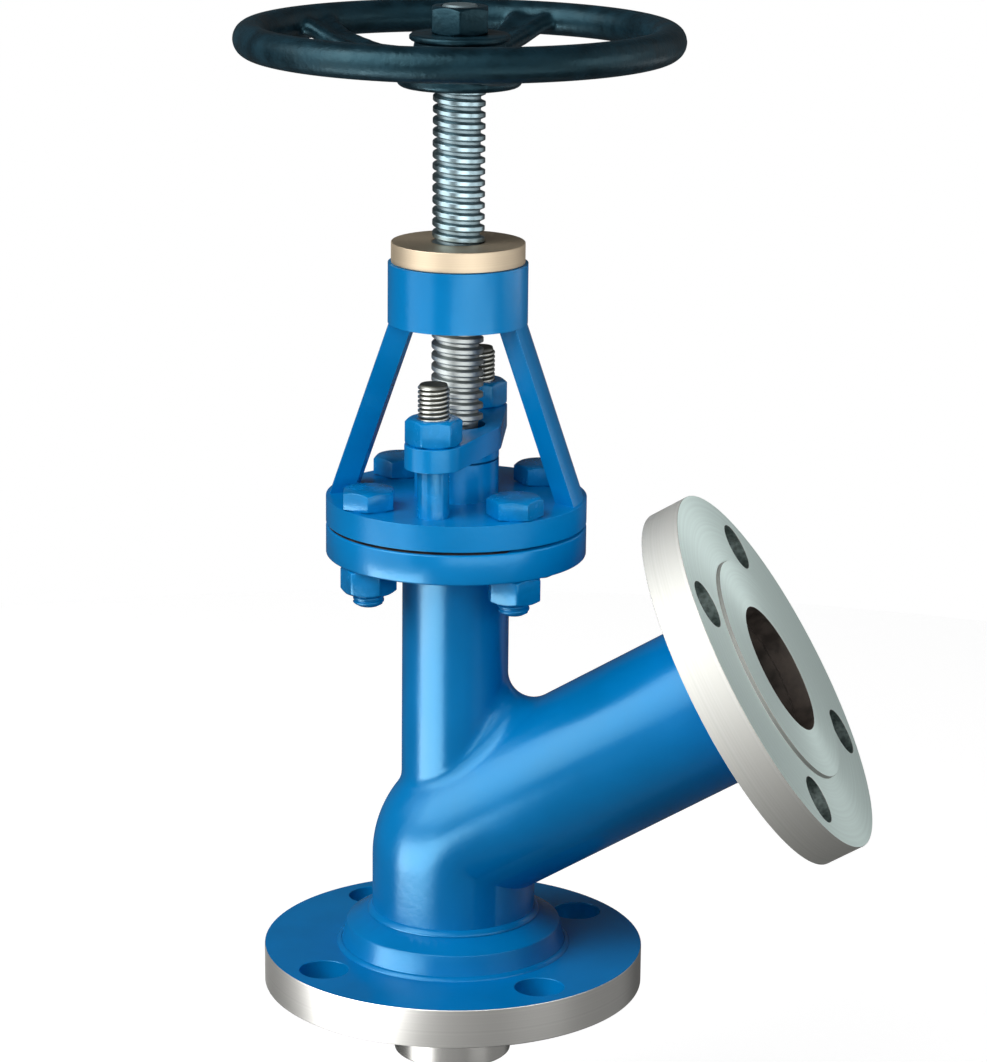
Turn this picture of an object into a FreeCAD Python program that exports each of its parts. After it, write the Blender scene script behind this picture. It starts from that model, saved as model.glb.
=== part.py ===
import FreeCAD, Part
import os
import re

import Sketcher

# Flush bottom valve, 2 inch, Y pattern, opening into the tank.
# Origin: centre of the tank flange's face. +Z runs up the stem, +X follows the outlet branch.
# The body is welded up: tank flange, body, outlet pipe and outlet flange are pieces of their own.
# The valve stands open: the disc hangs one lift below the tank face.

# Driving sizes in millimetres and degrees: name, value, what it sets
SIZES = (
    ("flange_radius", "75", "outside of the tank flange and of the outlet flange"),
    ("tank_flange_thickness", "15.4", "tank flange, flat towards the tank"),
    ("outlet_flange_thickness", "15.8", "outlet flange without its raised face"),
    ("raised_face_radius", "46.05", "sealing face of the outlet flange"),
    ("raised_face_height", "1.6", "step of the sealing face"),
    ("flange_bolt_circle", "60.325", "radius of the flange bolt circle"),
    ("flange_hole_radius", "9.525", "bolt hole in both flanges"),
    ("flange_hole_count", "4", "bolt holes in each flange"),
    ("hub_base_radius", "44.8", "raised hub on the tank flange, at its foot"),
    ("hub_top_radius", "42.3", "raised hub on the tank flange, at its top"),
    ("hub_height", "9.2", "raised hub on the tank flange, up to its edge"),
    ("hub_shoulder", "4.8", "slope from the hub's edge up to the body tube"),
    ("hub_land", "1", "level ring where the slope meets the body tube"),
    ("tube_radius", "32.2", "outside of the body tube and of the branch"),
    ("bore_radius", "26.25", "flow passage"),
    ("joint_height", "60.6", "where the branch axis meets the stem axis"),
    ("branch_tilt", "59.1", "angle between the stem axis and the branch axis"),
    ("bend_radius", "15", "middle line of the bend from the body tube into the branch"),
    ("branch_length", "148.6", "from the stem axis to the outlet's sealing face"),
    ("weld_reach", "78", "from the stem axis to the weld of body and outlet pipe"),
    ("outlet_lip", "8", "metal between the outlet pipe's end and the sealing face"),
    ("neck_radius", "20.8", "outside of the neck"),
    ("neck_bore_radius", "14", "neck bore round the stem"),
    ("neck_fillet", "10", "casting radius where the neck grows out of the joint"),
    ("bonnet_face_height", "187.2", "top face of the body's bonnet flange"),
    ("bonnet_flange_radius", "50.4", "body's bonnet flange and the yoke's foot flange"),
    ("bonnet_flange_thickness", "11.8", "body's bonnet flange"),
    ("bonnet_bolt_circle", "40", "radius of the bonnet bolt circle"),
    ("bonnet_hole_radius", "6.75", "bonnet bolt hole"),
    ("bonnet_bolt_count", "4", "bonnet bolts"),
    ("bonnet_bolt_length", "40", "bonnet bolt under its head"),
    ("recess_radius", "18", "recess in the body's top for spigot and guide bush"),
    ("recess_depth", "7", "recess in the body's top"),
    ("spigot_depth", "4.5", "yoke spigot below the body's top face"),
    ("spigot_clearance", "0.2", "radial room round the spigot and the guide bush head"),
    ("gasket_radius", "31", "outside of the bonnet gasket"),
    ("gasket_thickness", "1.2", "bonnet gasket"),
    ("yoke_flange_thickness", "10", "yoke's foot flange"),
    ("box_radius", "16.3", "outside of the stuffing box"),
    ("box_height", "15", "stuffing box above the yoke's foot flange"),
    ("box_bore_radius", "13", "packing chamber"),
    ("box_floor", "3", "floor under the packing"),
    ("window_height", "67.8", "from the yoke's foot flange to its collar"),
    ("collar_radius", "26.8", "outside of the yoke's collar"),
    ("collar_height", "23.2", "yoke's collar"),
    ("arm_foot_reach", "49.2", "outer face of a yoke arm at the foot flange"),
    ("arm_head_reach", "26", "outer face of a yoke arm at the collar"),
    ("arm_thickness", "9.6", "yoke arm along the radius"),
    ("arm_outer_width", "21", "yoke arm across its outer face"),
    ("arm_inner_width", "10", "yoke arm across its inner face"),
    ("arm_bulge", "1.4", "rounding of the arm's outer face"),
    ("arm_count", "2", "yoke arms"),
    ("arm_overlap", "3", "depth that the arms run into collar and foot flange"),
    ("nut_bush_flange_radius", "25.6", "flange of the threaded yoke bush"),
    ("nut_bush_flange_thickness", "8", "flange of the threaded yoke bush"),
    ("nut_bush_radius", "15", "threaded yoke bush inside the collar"),
    ("bush_pin_radius", "2", "pin that keeps the yoke bush from turning"),
    ("bush_pin_reach", "20.5", "pin's distance from the stem axis"),
    ("bush_pin_length", "11", "pin that keeps the yoke bush from turning"),
    ("thread_radius", "10", "stem thread over its crests"),
    ("stem_radius", "8", "plain stem"),
    ("running_clearance", "0.08", "radial room of the stem in its guides"),
    ("fit_clearance", "0.05", "radial room between parts that are fitted firmly"),
    ("open_clearance", "0.4", "radial room round the stem where it isn't guided"),
    ("disc_lift", "30", "travel of the disc from open to flush"),
    ("disc_radius", "23.2", "disc"),
    ("disc_edge", "10", "cylindrical edge of the disc below its cone"),
    ("disc_crown_radius", "19.6", "disc above its cone"),
    ("disc_thickness", "16", "disc up to its shoulder"),
    ("boss_radius", "15", "boss that holds the stem's end"),
    ("boss_height", "18", "boss above the disc's shoulder"),
    ("pocket_floor", "8", "metal under the stem's tip"),
    ("ring_seat_height", "16", "seat of the split ring above the disc's face"),
    ("ring_bore_radius", "11.7", "chamber of the split ring in the boss"),
    ("ring_height", "4.7", "split ring in the stem's groove"),
    ("groove_radius", "6", "bottom of the stem's groove"),
    ("end_play", "0.3", "play of the stem's end in the disc"),
    ("disc_nut_flats", "26", "disc nut across its flats"),
    ("disc_nut_height", "6", "hexagon of the disc nut"),
    ("seat_ring_radius", "30", "seat ring's recess in the tank flange"),
    ("seat_ring_height", "20", "seat ring"),
    ("seat_gasket_thickness", "1", "gasket above the seat ring"),
    ("throat_radius", "20", "seat ring's throat"),
    ("seat_clearance", "0.4", "room along the axis between the shut disc and the seat"),
    ("guide_bush_length", "18", "stem guide bush in the neck"),
    ("guide_bush_head", "2.4", "head of the stem guide bush"),
    ("base_ring_height", "3", "ring under the packing"),
    ("packing_height", "4.5", "one packing ring"),
    ("packing_count", "4", "packing rings"),
    ("gland_reserve", "0.8", "room between the gland's collar and the stuffing box"),
    ("gland_collar_height", "3.2", "collar of the gland follower"),
    ("gland_flange_thickness", "9.1", "gland flange"),
    ("gland_centre_radius", "17.2", "middle of the oval gland flange"),
    ("gland_lobe_radius", "11", "ends of the oval gland flange"),
    ("gland_bore_radius", "10.8", "bore of the gland flange round the thread"),
    ("stud_count", "2", "gland studs"),
    ("stud_reach", "36", "gland stud from the stem axis"),
    ("stud_swing", "2.6", "line of the gland studs, turned clockwise from the Y axis"),
    ("stud_projection", "13.1", "gland stud above its nut"),
    ("stud_engagement", "9", "gland stud in the yoke's foot flange"),
    ("fastener_radius", "6", "bolts and studs"),
    ("fastener_flats", "19", "nuts and bolt heads across their flats"),
    ("nut_height", "10", "nuts"),
    ("head_height", "7.5", "bolt heads"),
    ("wheel_gap", "58.8", "from the yoke bush to the handwheel's hub, valve open"),
    ("rim_radius", "78.5", "middle of the handwheel's rim"),
    ("rim_tube_radius", "6.6", "handwheel's rim section"),
    ("rim_rise", "17.8", "middle of the rim above the hub's lower face"),
    ("wheel_hub_radius", "17", "handwheel hub"),
    ("wheel_hub_height", "17.4", "handwheel hub"),
    ("wheel_plate_radius", "23.8", "round plate at the hub's foot"),
    ("wheel_plate_thickness", "6.5", "round plate at the hub's foot"),
    ("spoke_count", "5", "handwheel spokes"),
    ("spoke_turn", "5.8", "direction of the first spoke from +X"),
    ("spoke_root_width", "21", "spoke at the hub"),
    ("spoke_waist_width", "15", "spoke halfway"),
    ("spoke_tip_width", "17", "spoke at the rim"),
    ("spoke_depth", "8", "spoke along the axis"),
    ("spoke_sweep", "5", "sideways bow of a spoke halfway"),
    ("spoke_waist_rise", "9.2", "spoke halfway, above the hub's lower face"),
    ("wheel_seat_radius", "8", "stem inside the handwheel"),
    ("wheel_thread_radius", "7", "thread for the handwheel nut"),
    ("wheel_nut_flats", "21", "handwheel nut across its flats"),
    ("wheel_nut_height", "10.4", "handwheel nut"),
    ("key_width", "5", "key between stem and handwheel"),
    ("key_length", "13", "key between stem and handwheel"),
    ("washer_radius", "21", "washer on the handwheel"),
    ("washer_thickness", "2.4", "washer on the handwheel"),
    ("stem_tail", "0.6", "stem above the handwheel nut"),
)

# Places worked out from the driving sizes, as formulas
PLACES = {
    "tank_flange_top": "tank_flange_thickness",
    "hub_top": "tank_flange_top + hub_height",
    "seat_recess_top": "seat_ring_height + seat_gasket_thickness",
    "outlet_flange_front": "branch_length - raised_face_height",
    "outlet_flange_back": "outlet_flange_front - outlet_flange_thickness",
    "outlet_pipe_end": "branch_length - outlet_lip",
    "socket_radius": "tube_radius + fit_clearance",
    "bend_start": "bend_radius * tan(branch_tilt / 2)",
    "bonnet_flange_bottom": "bonnet_face_height - bonnet_flange_thickness",
    "recess_floor": "bonnet_face_height - recess_depth",
    "spigot_bottom": "bonnet_face_height - spigot_depth",
    "yoke_foot": "bonnet_face_height + gasket_thickness",
    "yoke_flange_top": "yoke_foot + yoke_flange_thickness",
    "box_bottom": "spigot_bottom + box_floor",
    "box_top": "yoke_flange_top + box_height",
    "packing_bottom": "box_bottom + base_ring_height",
    "packing_top": "packing_bottom + packing_count * packing_height",
    "gland_collar_bottom": "box_top + gland_reserve",
    "gland_flange_bottom": "gland_collar_bottom + gland_collar_height",
    "gland_flange_top": "gland_flange_bottom + gland_flange_thickness",
    "gland_nut_top": "gland_flange_top + nut_height",
    "collar_bottom": "yoke_flange_top + window_height",
    "collar_top": "collar_bottom + collar_height",
    "nut_bush_top": "collar_top + nut_bush_flange_thickness",
    "wheel_bottom": "nut_bush_top + wheel_gap",
    "wheel_top": "wheel_bottom + wheel_hub_height",
    "wheel_nut_bottom": "wheel_top + washer_thickness",
    "stem_top": "wheel_nut_bottom + wheel_nut_height + stem_tail",
    "rim_height": "wheel_bottom + rim_rise",
    "stem_bore": "stem_radius + running_clearance",
    "free_bore": "stem_radius + open_clearance",
    "disc_face": "0 - disc_lift",
    "disc_shoulder": "disc_face + disc_thickness",
    "boss_top": "disc_shoulder + boss_height",
    "cone_top": "disc_edge + disc_radius - disc_crown_radius",
    "pocket_bottom": "disc_face + pocket_floor",
    "ring_seat": "disc_face + ring_seat_height",
    "ring_bottom": "ring_seat + end_play",
    "ring_top": "ring_bottom + ring_height",
    "disc_nut_bottom": "ring_top + end_play",
}
# How far each hexagon is turned from having a flat towards -Y, as tightening left it
HEAD_TURNS = (11, 24, 41, 7)
NUT_TURNS = (33, 18, 5, 47)
GLAND_NUT_TURNS = (9, 17)
WHEEL_NUT_TURN = 41
WORD = re.compile(r"[a-z_]{4,}")
NAMES = {name for name, value, meaning in SIZES}

document = FreeCAD.newDocument("FlushBottomValve")
sheet = document.addObject("Spreadsheet::Sheet", "Sizes")
for row, (name, value, meaning) in enumerate(SIZES, 1):
    sheet.set("A%d" % row, meaning)
    sheet.set("B%d" % row, value)
    sheet.setAlias("B%d" % row, name)
document.recompute()


# Formulas and values


def formula(text):
    """Text with each place spelled out and each size pointing at its cell."""

    def spell(match):
        word = match.group(0)
        if word in PLACES:
            return "(" + formula(PLACES[word]) + ")"
        return "Sizes." + word if word in NAMES else word

    return WORD.sub(spell, text)


def size(text):
    """The number that a formula gives now."""
    return float(sheet.evalExpression(formula(text)))


def bind(item, **properties):
    """Tie properties of an item to formulas; x, y and z move it."""
    for name, text in properties.items():
        path = "Placement.Base." + name if name in "xyz" else name
        item.setExpression(path, formula(text))


# Building blocks


def new_body(name):
    """A body for one piece; its label names the piece."""
    body = document.addObject("PartDesign::Body", "Body")
    body.Label = name
    return body


def origin_plane(body, role):
    """One of the body's own origin planes."""
    return next(plane for plane in body.Origin.OriginFeatures if plane.Role == role)


def empty_sketch(body, role, name):
    """A sketch on an origin plane of its body."""
    sketch = body.newObject("Sketcher::SketchObject", name)
    sketch.AttachmentSupport = [(origin_plane(body, role), "")]
    sketch.MapMode = "FlatFace"
    return sketch


def pin_point(sketch, line, point, x, y):
    """Hold one point of a sketch at two formulas."""
    for kind, axis, text in (("DistanceX", -2, x), ("DistanceY", -1, y)):
        if text == "0":
            sketch.addConstraint(Sketcher.Constraint("PointOnObject", line, point, axis))
            continue
        datum = Sketcher.Constraint(kind, -1, 1, line, point, size(text))
        index = sketch.addConstraint(datum)
        sketch.setExpression("Constraints[%d]" % index, formula(text))


def hold_radius(sketch, arc, radius):
    """Tie an arc's radius to a formula."""
    index = sketch.addConstraint(Sketcher.Constraint("Radius", arc, size(radius)))
    sketch.setExpression("Constraints[%d]" % index, formula(radius))


def outline(body, name, corners, role="XZ_Plane", bulges=None):
    """A closed outline through corners given as formulas.

    Its sides are straight, but for those in bulges, which swell outward by
    that much. Such an outline runs counter-clockwise.
    """
    sketch = empty_sketch(body, role, name)
    bulges = bulges or {}
    points = [FreeCAD.Vector(size(x), size(y), 0) for x, y in corners]
    for index, start in enumerate(points):
        end = points[(index + 1) % len(points)]
        side = Part.LineSegment(start, end)
        if index in bulges:
            chord = end - start
            outward = FreeCAD.Vector(chord.y, -chord.x, 0).normalize()
            side = Part.Arc(start, (start + end) / 2 + outward * size(bulges[index]), end)
        sketch.addGeometry(side, False)
    for index, (x, y) in enumerate(corners):
        following = (index + 1) % len(corners)
        sketch.addConstraint(Sketcher.Constraint("Coincident", index, 2, following, 1))
        pin_point(sketch, index, 1, x, y)
        if index in bulges:
            next_x, next_y = corners[following]
            chord = "sqrt((%s - (%s)) ^ 2 + (%s - (%s)) ^ 2)" % (next_x, x, next_y, y)
            bulge = bulges[index]
            hold_radius(sketch, index, "((%s) ^ 2 / 4 + (%s) ^ 2) / 2 / (%s)" % (chord, bulge, bulge))
    return sketch


def turned(body, name, corners, cut=False):
    """A turned shape, or a turned cut, about the body's Z axis."""
    sketch = outline(body, name + "Outline", corners)
    kind = "PartDesign::Groove" if cut else "PartDesign::Revolution"
    feature = body.newObject(kind, name)
    feature.Profile = sketch
    feature.ReferenceAxis = (sketch, ["V_Axis"])
    feature.Angle = 360
    return feature


def pierced(body, name, radius, height, x="0", y="0", z="0"):
    """A round hole through a body, along Z."""
    hole = body.newObject("PartDesign::SubtractiveCylinder", name)
    bind(hole, Radius=radius, Height=height, x=x, y=y, z=z)
    return hole


def repeated(body, name, feature, count, axis_sketch, axis="V_Axis"):
    """Copies of a feature round an axis of a sketch."""
    pattern = body.newObject("PartDesign::PolarPattern", name)
    pattern.Originals = [feature]
    pattern.Axis = (axis_sketch, [axis])
    pattern.Angle = 360
    bind(pattern, Occurrences=count)
    body.Tip = pattern
    return pattern


def hexagon(body, name, flats, height, z):
    """A hexagonal block along Z, with one flat towards -Y."""
    block = body.newObject("PartDesign::AdditivePrism", name)
    block.Polygon = 6
    bind(block, Circumradius="(%s) / 2 / cos(30)" % flats, Height=height, z=z)
    return block


def on_circle(body, reach, index, count, start, turn=0):
    """Set a body on a circle about the stem axis, turned about its own axis."""
    angle = "(%s + %d * 360 / %s)" % (start, index, count)
    body.Placement.Rotation = FreeCAD.Rotation(FreeCAD.Vector(0, 0, 1), turn)
    bind(body, x="%s * cos(%s)" % (reach, angle), y="%s * sin(%s)" % (reach, angle))


def joint_edges(shape, test):
    """Names of the edges whose points all pass a test."""
    names = []
    for index, edge in enumerate(shape.Edges, 1):
        if not edge.Degenerated and all(test(point) for point in edge.discretize(5)):
            names.append("Edge%d" % index)
    return names


# The welded body: tank flange, body with its neck, outlet pipe and outlet flange


def make_tank_flange():
    body = new_body("tank_flange")
    ring = turned(body, "Ring", (
        ("seat_ring_radius", "0"),
        ("flange_radius", "0"),
        ("flange_radius", "tank_flange_top"),
        ("hub_base_radius", "tank_flange_top"),
        ("hub_top_radius", "hub_top"),
        ("socket_radius + hub_land", "hub_top + hub_shoulder"),
        ("socket_radius", "hub_top + hub_shoulder"),
        ("socket_radius", "seat_recess_top"),
        ("seat_ring_radius", "seat_recess_top"),
    ))
    corner = "180 / flange_hole_count"
    hole = pierced(
        body, "Hole", "flange_hole_radius", "tank_flange_thickness",
        x="flange_bolt_circle * cos(%s)" % corner,
        y="flange_bolt_circle * sin(%s)" % corner,
    )
    repeated(body, "Holes", hole, "flange_hole_count", ring.Profile[0])
    return body


def make_valve_body():
    body = new_body("valve_body")
    column = turned(body, "Column", (
        ("0", "seat_recess_top"),
        ("tube_radius", "seat_recess_top"),
        ("tube_radius", "joint_height - bend_start"),
        ("neck_radius", "joint_height - bend_start"),
        ("neck_radius", "bonnet_flange_bottom"),
        ("bonnet_flange_radius", "bonnet_flange_bottom"),
        ("bonnet_flange_radius", "bonnet_face_height"),
        ("0", "bonnet_face_height"),
    ))
    add_bend(body)
    tilted_turned(body, "BranchStub", (
        ("0", "bend_start"),
        ("tube_radius", "bend_start"),
        ("tube_radius", "weld_reach"),
        ("0", "weld_reach"),
    ))
    document.recompute()
    round_neck_joint(body)
    turned(body, "ColumnBore", (
        ("0", "seat_recess_top"),
        ("bore_radius", "seat_recess_top"),
        ("bore_radius", "joint_height"),
        ("neck_bore_radius", "joint_height"),
        ("neck_bore_radius", "recess_floor"),
        ("recess_radius", "recess_floor"),
        ("recess_radius", "bonnet_face_height"),
        ("0", "bonnet_face_height"),
    ), cut=True)
    hollow = body.newObject("PartDesign::SubtractiveSphere", "KnuckleBore")
    bind(hollow, Radius="bore_radius", z="joint_height")
    tilted_turned(body, "BranchBore", (
        ("0", "0"),
        ("bore_radius", "0"),
        ("bore_radius", "weld_reach"),
        ("0", "weld_reach"),
    ), cut=True)
    corner = "180 / bonnet_bolt_count"
    hole = pierced(
        body, "BonnetHole", "bonnet_hole_radius", "bonnet_flange_thickness",
        x="bonnet_bolt_circle * cos(%s)" % corner,
        y="bonnet_bolt_circle * sin(%s)" % corner,
        z="bonnet_flange_bottom",
    )
    repeated(body, "BonnetHoles", hole, "bonnet_bolt_count", column.Profile[0])
    return body


def add_bend(body):
    """The outer side of the bend in which the body tube turns into the branch."""
    half_chord = "sqrt(tube_radius ^ 2 - bend_radius ^ 2)"
    sketch = outline(body, "BendOutline", (
        ("0", "0 - " + half_chord),
        ("0", half_chord),
    ), role="XY_Plane", bulges={1: "bend_radius + tube_radius"})
    sketch.setExpression("AttachmentOffset.Base.x", formula("bend_radius"))
    sketch.setExpression("AttachmentOffset.Base.z", formula("joint_height - bend_start"))
    bend = body.newObject("PartDesign::Revolution", "Bend")
    bend.Profile = sketch
    bend.ReferenceAxis = (sketch, ["V_Axis"])
    bind(bend, Angle="branch_tilt")


def make_outlet_pipe():
    body = new_body("outlet_pipe")
    tilted_turned(body, "Pipe", (
        ("bore_radius", "weld_reach"),
        ("tube_radius", "weld_reach"),
        ("tube_radius", "outlet_pipe_end"),
        ("bore_radius", "outlet_pipe_end"),
    ))
    return body


def make_outlet_flange():
    body = new_body("outlet_flange")
    ring = tilted_turned(body, "Ring", (
        ("bore_radius", "outlet_pipe_end"),
        ("socket_radius", "outlet_pipe_end"),
        ("socket_radius", "outlet_flange_back"),
        ("flange_radius", "outlet_flange_back"),
        ("flange_radius", "outlet_flange_front"),
        ("raised_face_radius", "outlet_flange_front"),
        ("raised_face_radius", "branch_length"),
        ("bore_radius", "branch_length"),
    ))
    corner = "180 / flange_hole_count"
    hole = pierced(
        body, "Hole", "flange_hole_radius", "outlet_flange_thickness",
        x="outlet_flange_back * sin(branch_tilt)"
          " - flange_bolt_circle * sin(%s) * cos(branch_tilt)" % corner,
        y="flange_bolt_circle * cos(%s)" % corner,
        z="joint_height + outlet_flange_back * cos(branch_tilt)"
          " + flange_bolt_circle * sin(%s) * sin(branch_tilt)" % corner,
    )
    hole.Placement.Rotation = FreeCAD.Rotation(FreeCAD.Vector(0, 1, 0), 1)
    hole.setExpression("Placement.Rotation.Angle", formula("branch_tilt"))
    repeated(body, "Holes", hole, "flange_hole_count", ring.Profile[0])
    return body


def tilted_turned(body, name, corners, cut=False):
    """A turned shape or cut about the branch axis."""
    feature = turned(body, name, corners, cut)
    sketch = feature.Profile[0]
    sketch.AttachmentOffset = FreeCAD.Placement(
        FreeCAD.Vector(0, size("joint_height"), 0),
        FreeCAD.Rotation(FreeCAD.Vector(0, 0, -1), size("branch_tilt")),
    )
    sketch.setExpression("AttachmentOffset.Base.y", formula("joint_height"))
    sketch.setExpression("AttachmentOffset.Rotation.Angle", formula("branch_tilt"))
    return feature


def round_neck_joint(body):
    """The casting radius where the neck grows out of the knuckle and the branch."""
    neck = size("neck_radius")
    low = size("joint_height")
    high = size("bonnet_flange_bottom") - size("neck_fillet")

    def on_neck_foot(point):
        around = (point.x ** 2 + point.y ** 2) ** 0.5
        return abs(around - neck) < 0.01 and low < point.z < high

    base = body.Tip
    fillet = body.newObject("PartDesign::Fillet", "NeckRound")
    fillet.Base = (base, joint_edges(base.Shape, on_neck_foot))
    bind(fillet, Radius="neck_fillet")


# The seat in the tank flange


def make_seat_ring():
    body = new_body("seat_ring")
    seat_line = "disc_edge + disc_radius + seat_clearance"
    mouth = "disc_radius + end_play"
    turned(body, "Ring", (
        (mouth, "0"),
        ("seat_ring_radius - fit_clearance", "0"),
        ("seat_ring_radius - fit_clearance", "seat_ring_height"),
        ("throat_radius", "seat_ring_height"),
        ("throat_radius", seat_line + " - throat_radius"),
        (mouth, "%s - (%s)" % (seat_line, mouth)),
    ))
    return body


def make_seat_gasket():
    body = new_body("seat_gasket")
    turned(body, "Ring", (
        ("bore_radius", "seat_ring_height"),
        ("seat_ring_radius - fit_clearance", "seat_ring_height"),
        ("seat_ring_radius - fit_clearance", "seat_recess_top"),
        ("bore_radius", "seat_recess_top"),
    ))
    return body


# The disc and what holds the stem's end in it


def make_disc():
    body = new_body("disc")
    turned(body, "Disc", (
        ("0", "disc_face"),
        ("disc_radius", "disc_face"),
        ("disc_radius", "disc_face + disc_edge"),
        ("disc_crown_radius", "disc_face + cone_top"),
        ("disc_crown_radius", "disc_shoulder"),
        ("boss_radius", "disc_shoulder"),
        ("boss_radius", "boss_top"),
        ("ring_bore_radius", "boss_top"),
        ("ring_bore_radius", "ring_seat"),
        ("stem_bore", "ring_seat"),
        ("stem_bore", "pocket_bottom"),
        ("0", "pocket_bottom"),
    ))
    return body


def make_disc_nut():
    body = new_body("disc_nut")
    hexagon(body, "Hexagon", "disc_nut_flats", "disc_nut_height", "boss_top")
    turned(body, "Shank", (
        ("0", "disc_nut_bottom"),
        ("ring_bore_radius - fit_clearance", "disc_nut_bottom"),
        ("ring_bore_radius - fit_clearance", "boss_top"),
        ("0", "boss_top"),
    ))
    pierced(
        body, "Bore", "stem_bore", "boss_top - disc_nut_bottom + disc_nut_height",
        z="disc_nut_bottom",
    )
    return body


def make_split_ring(name, side):
    """One half of the ring in the stem's groove; side is 1 or -1 along Y."""
    body = new_body(name)
    outer = "ring_bore_radius - open_clearance"
    ring = turned(body, "Half", (
        ("groove_radius + fit_clearance", "ring_bottom"),
        (outer, "ring_bottom"),
        (outer, "ring_top"),
        ("groove_radius + fit_clearance", "ring_top"),
    ))
    ring.Angle = 180
    ring.Reversed = side > 0
    return body


# The stem


def make_stem():
    body = new_body("stem")
    turned(body, "Stem", (
        ("0", "pocket_bottom + end_play"),
        ("stem_radius", "pocket_bottom + end_play"),
        ("stem_radius", "ring_bottom"),
        ("groove_radius", "ring_bottom"),
        ("groove_radius", "ring_top"),
        ("stem_radius", "ring_top"),
        ("stem_radius", "gland_flange_top"),
        ("thread_radius", "gland_flange_top + thread_radius - stem_radius"),
        ("thread_radius", "wheel_bottom"),
        ("wheel_seat_radius", "wheel_bottom"),
        ("wheel_seat_radius", "wheel_top - end_play"),
        ("wheel_thread_radius", "wheel_top - end_play"),
        ("wheel_thread_radius", "stem_top"),
        ("0", "stem_top"),
    ))
    slot = body.newObject("PartDesign::SubtractiveBox", "Keyway")
    bind(
        slot, Length="key_width / 2 + fit_clearance", Width="key_width + 2 * fit_clearance",
        Height="key_length", x="wheel_seat_radius - key_width / 2 - fit_clearance",
        y="0 - key_width / 2 - fit_clearance", z="wheel_bottom",
    )
    return body


# Guides, gaskets and packing round the stem


def make_guide_bush():
    body = new_body("stem_guide_bush")
    turned(body, "Bush", (
        ("stem_bore", "recess_floor - guide_bush_length"),
        ("neck_bore_radius - fit_clearance", "recess_floor - guide_bush_length"),
        ("neck_bore_radius - fit_clearance", "recess_floor"),
        ("recess_radius - spigot_clearance", "recess_floor"),
        ("recess_radius - spigot_clearance", "recess_floor + guide_bush_head"),
        ("stem_bore", "recess_floor + guide_bush_head"),
    ))
    return body


def make_bonnet_gasket():
    body = new_body("bonnet_gasket")
    turned(body, "Ring", (
        ("recess_radius + spigot_clearance", "bonnet_face_height"),
        ("gasket_radius", "bonnet_face_height"),
        ("gasket_radius", "yoke_foot"),
        ("recess_radius + spigot_clearance", "yoke_foot"),
    ))
    return body


def make_packing_base_ring():
    body = new_body("packing_base_ring")
    turned(body, "Ring", (
        ("free_bore", "box_bottom"),
        ("box_bore_radius - fit_clearance", "box_bottom"),
        ("box_bore_radius - fit_clearance", "packing_bottom"),
        ("free_bore", "packing_bottom"),
    ))
    return body


def make_packing_ring(index):
    body = new_body("packing_ring_%d" % (index + 1))
    bottom = "packing_bottom + %d * packing_height" % index
    top = "packing_bottom + %d * packing_height" % (index + 1)
    turned(body, "Ring", (
        ("stem_bore", bottom),
        ("box_bore_radius - fit_clearance", bottom),
        ("box_bore_radius - fit_clearance", top),
        ("stem_bore", top),
    ))
    return body


# The gland


def make_gland_follower():
    body = new_body("gland_follower")
    turned(body, "Follower", (
        ("free_bore", "packing_top"),
        ("box_bore_radius - spigot_clearance", "packing_top"),
        ("box_bore_radius - spigot_clearance", "gland_collar_bottom"),
        ("box_radius", "gland_collar_bottom"),
        ("box_radius", "gland_flange_bottom"),
        ("free_bore", "gland_flange_bottom"),
    ))
    return body


def make_gland_flange():
    body = new_body("gland_flange")
    sketch = oval_outline(body, "OvalOutline")
    plate = body.newObject("PartDesign::Pad", "Plate")
    plate.Profile = sketch
    bind(plate, Length="gland_flange_thickness")
    pierced(body, "Bore", "gland_bore_radius", "gland_flange_thickness", z="gland_flange_bottom")
    hole = pierced(
        body, "StudHole", "bonnet_hole_radius", "gland_flange_thickness",
        y="stud_reach", z="gland_flange_bottom",
    )
    repeated(body, "StudHoles", hole, "stud_count", sketch, axis="N_Axis")
    body.Placement.Rotation = FreeCAD.Rotation(FreeCAD.Vector(0, 0, -1), 1)
    body.setExpression("Placement.Rotation.Angle", formula("stud_swing"))
    return body


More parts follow.
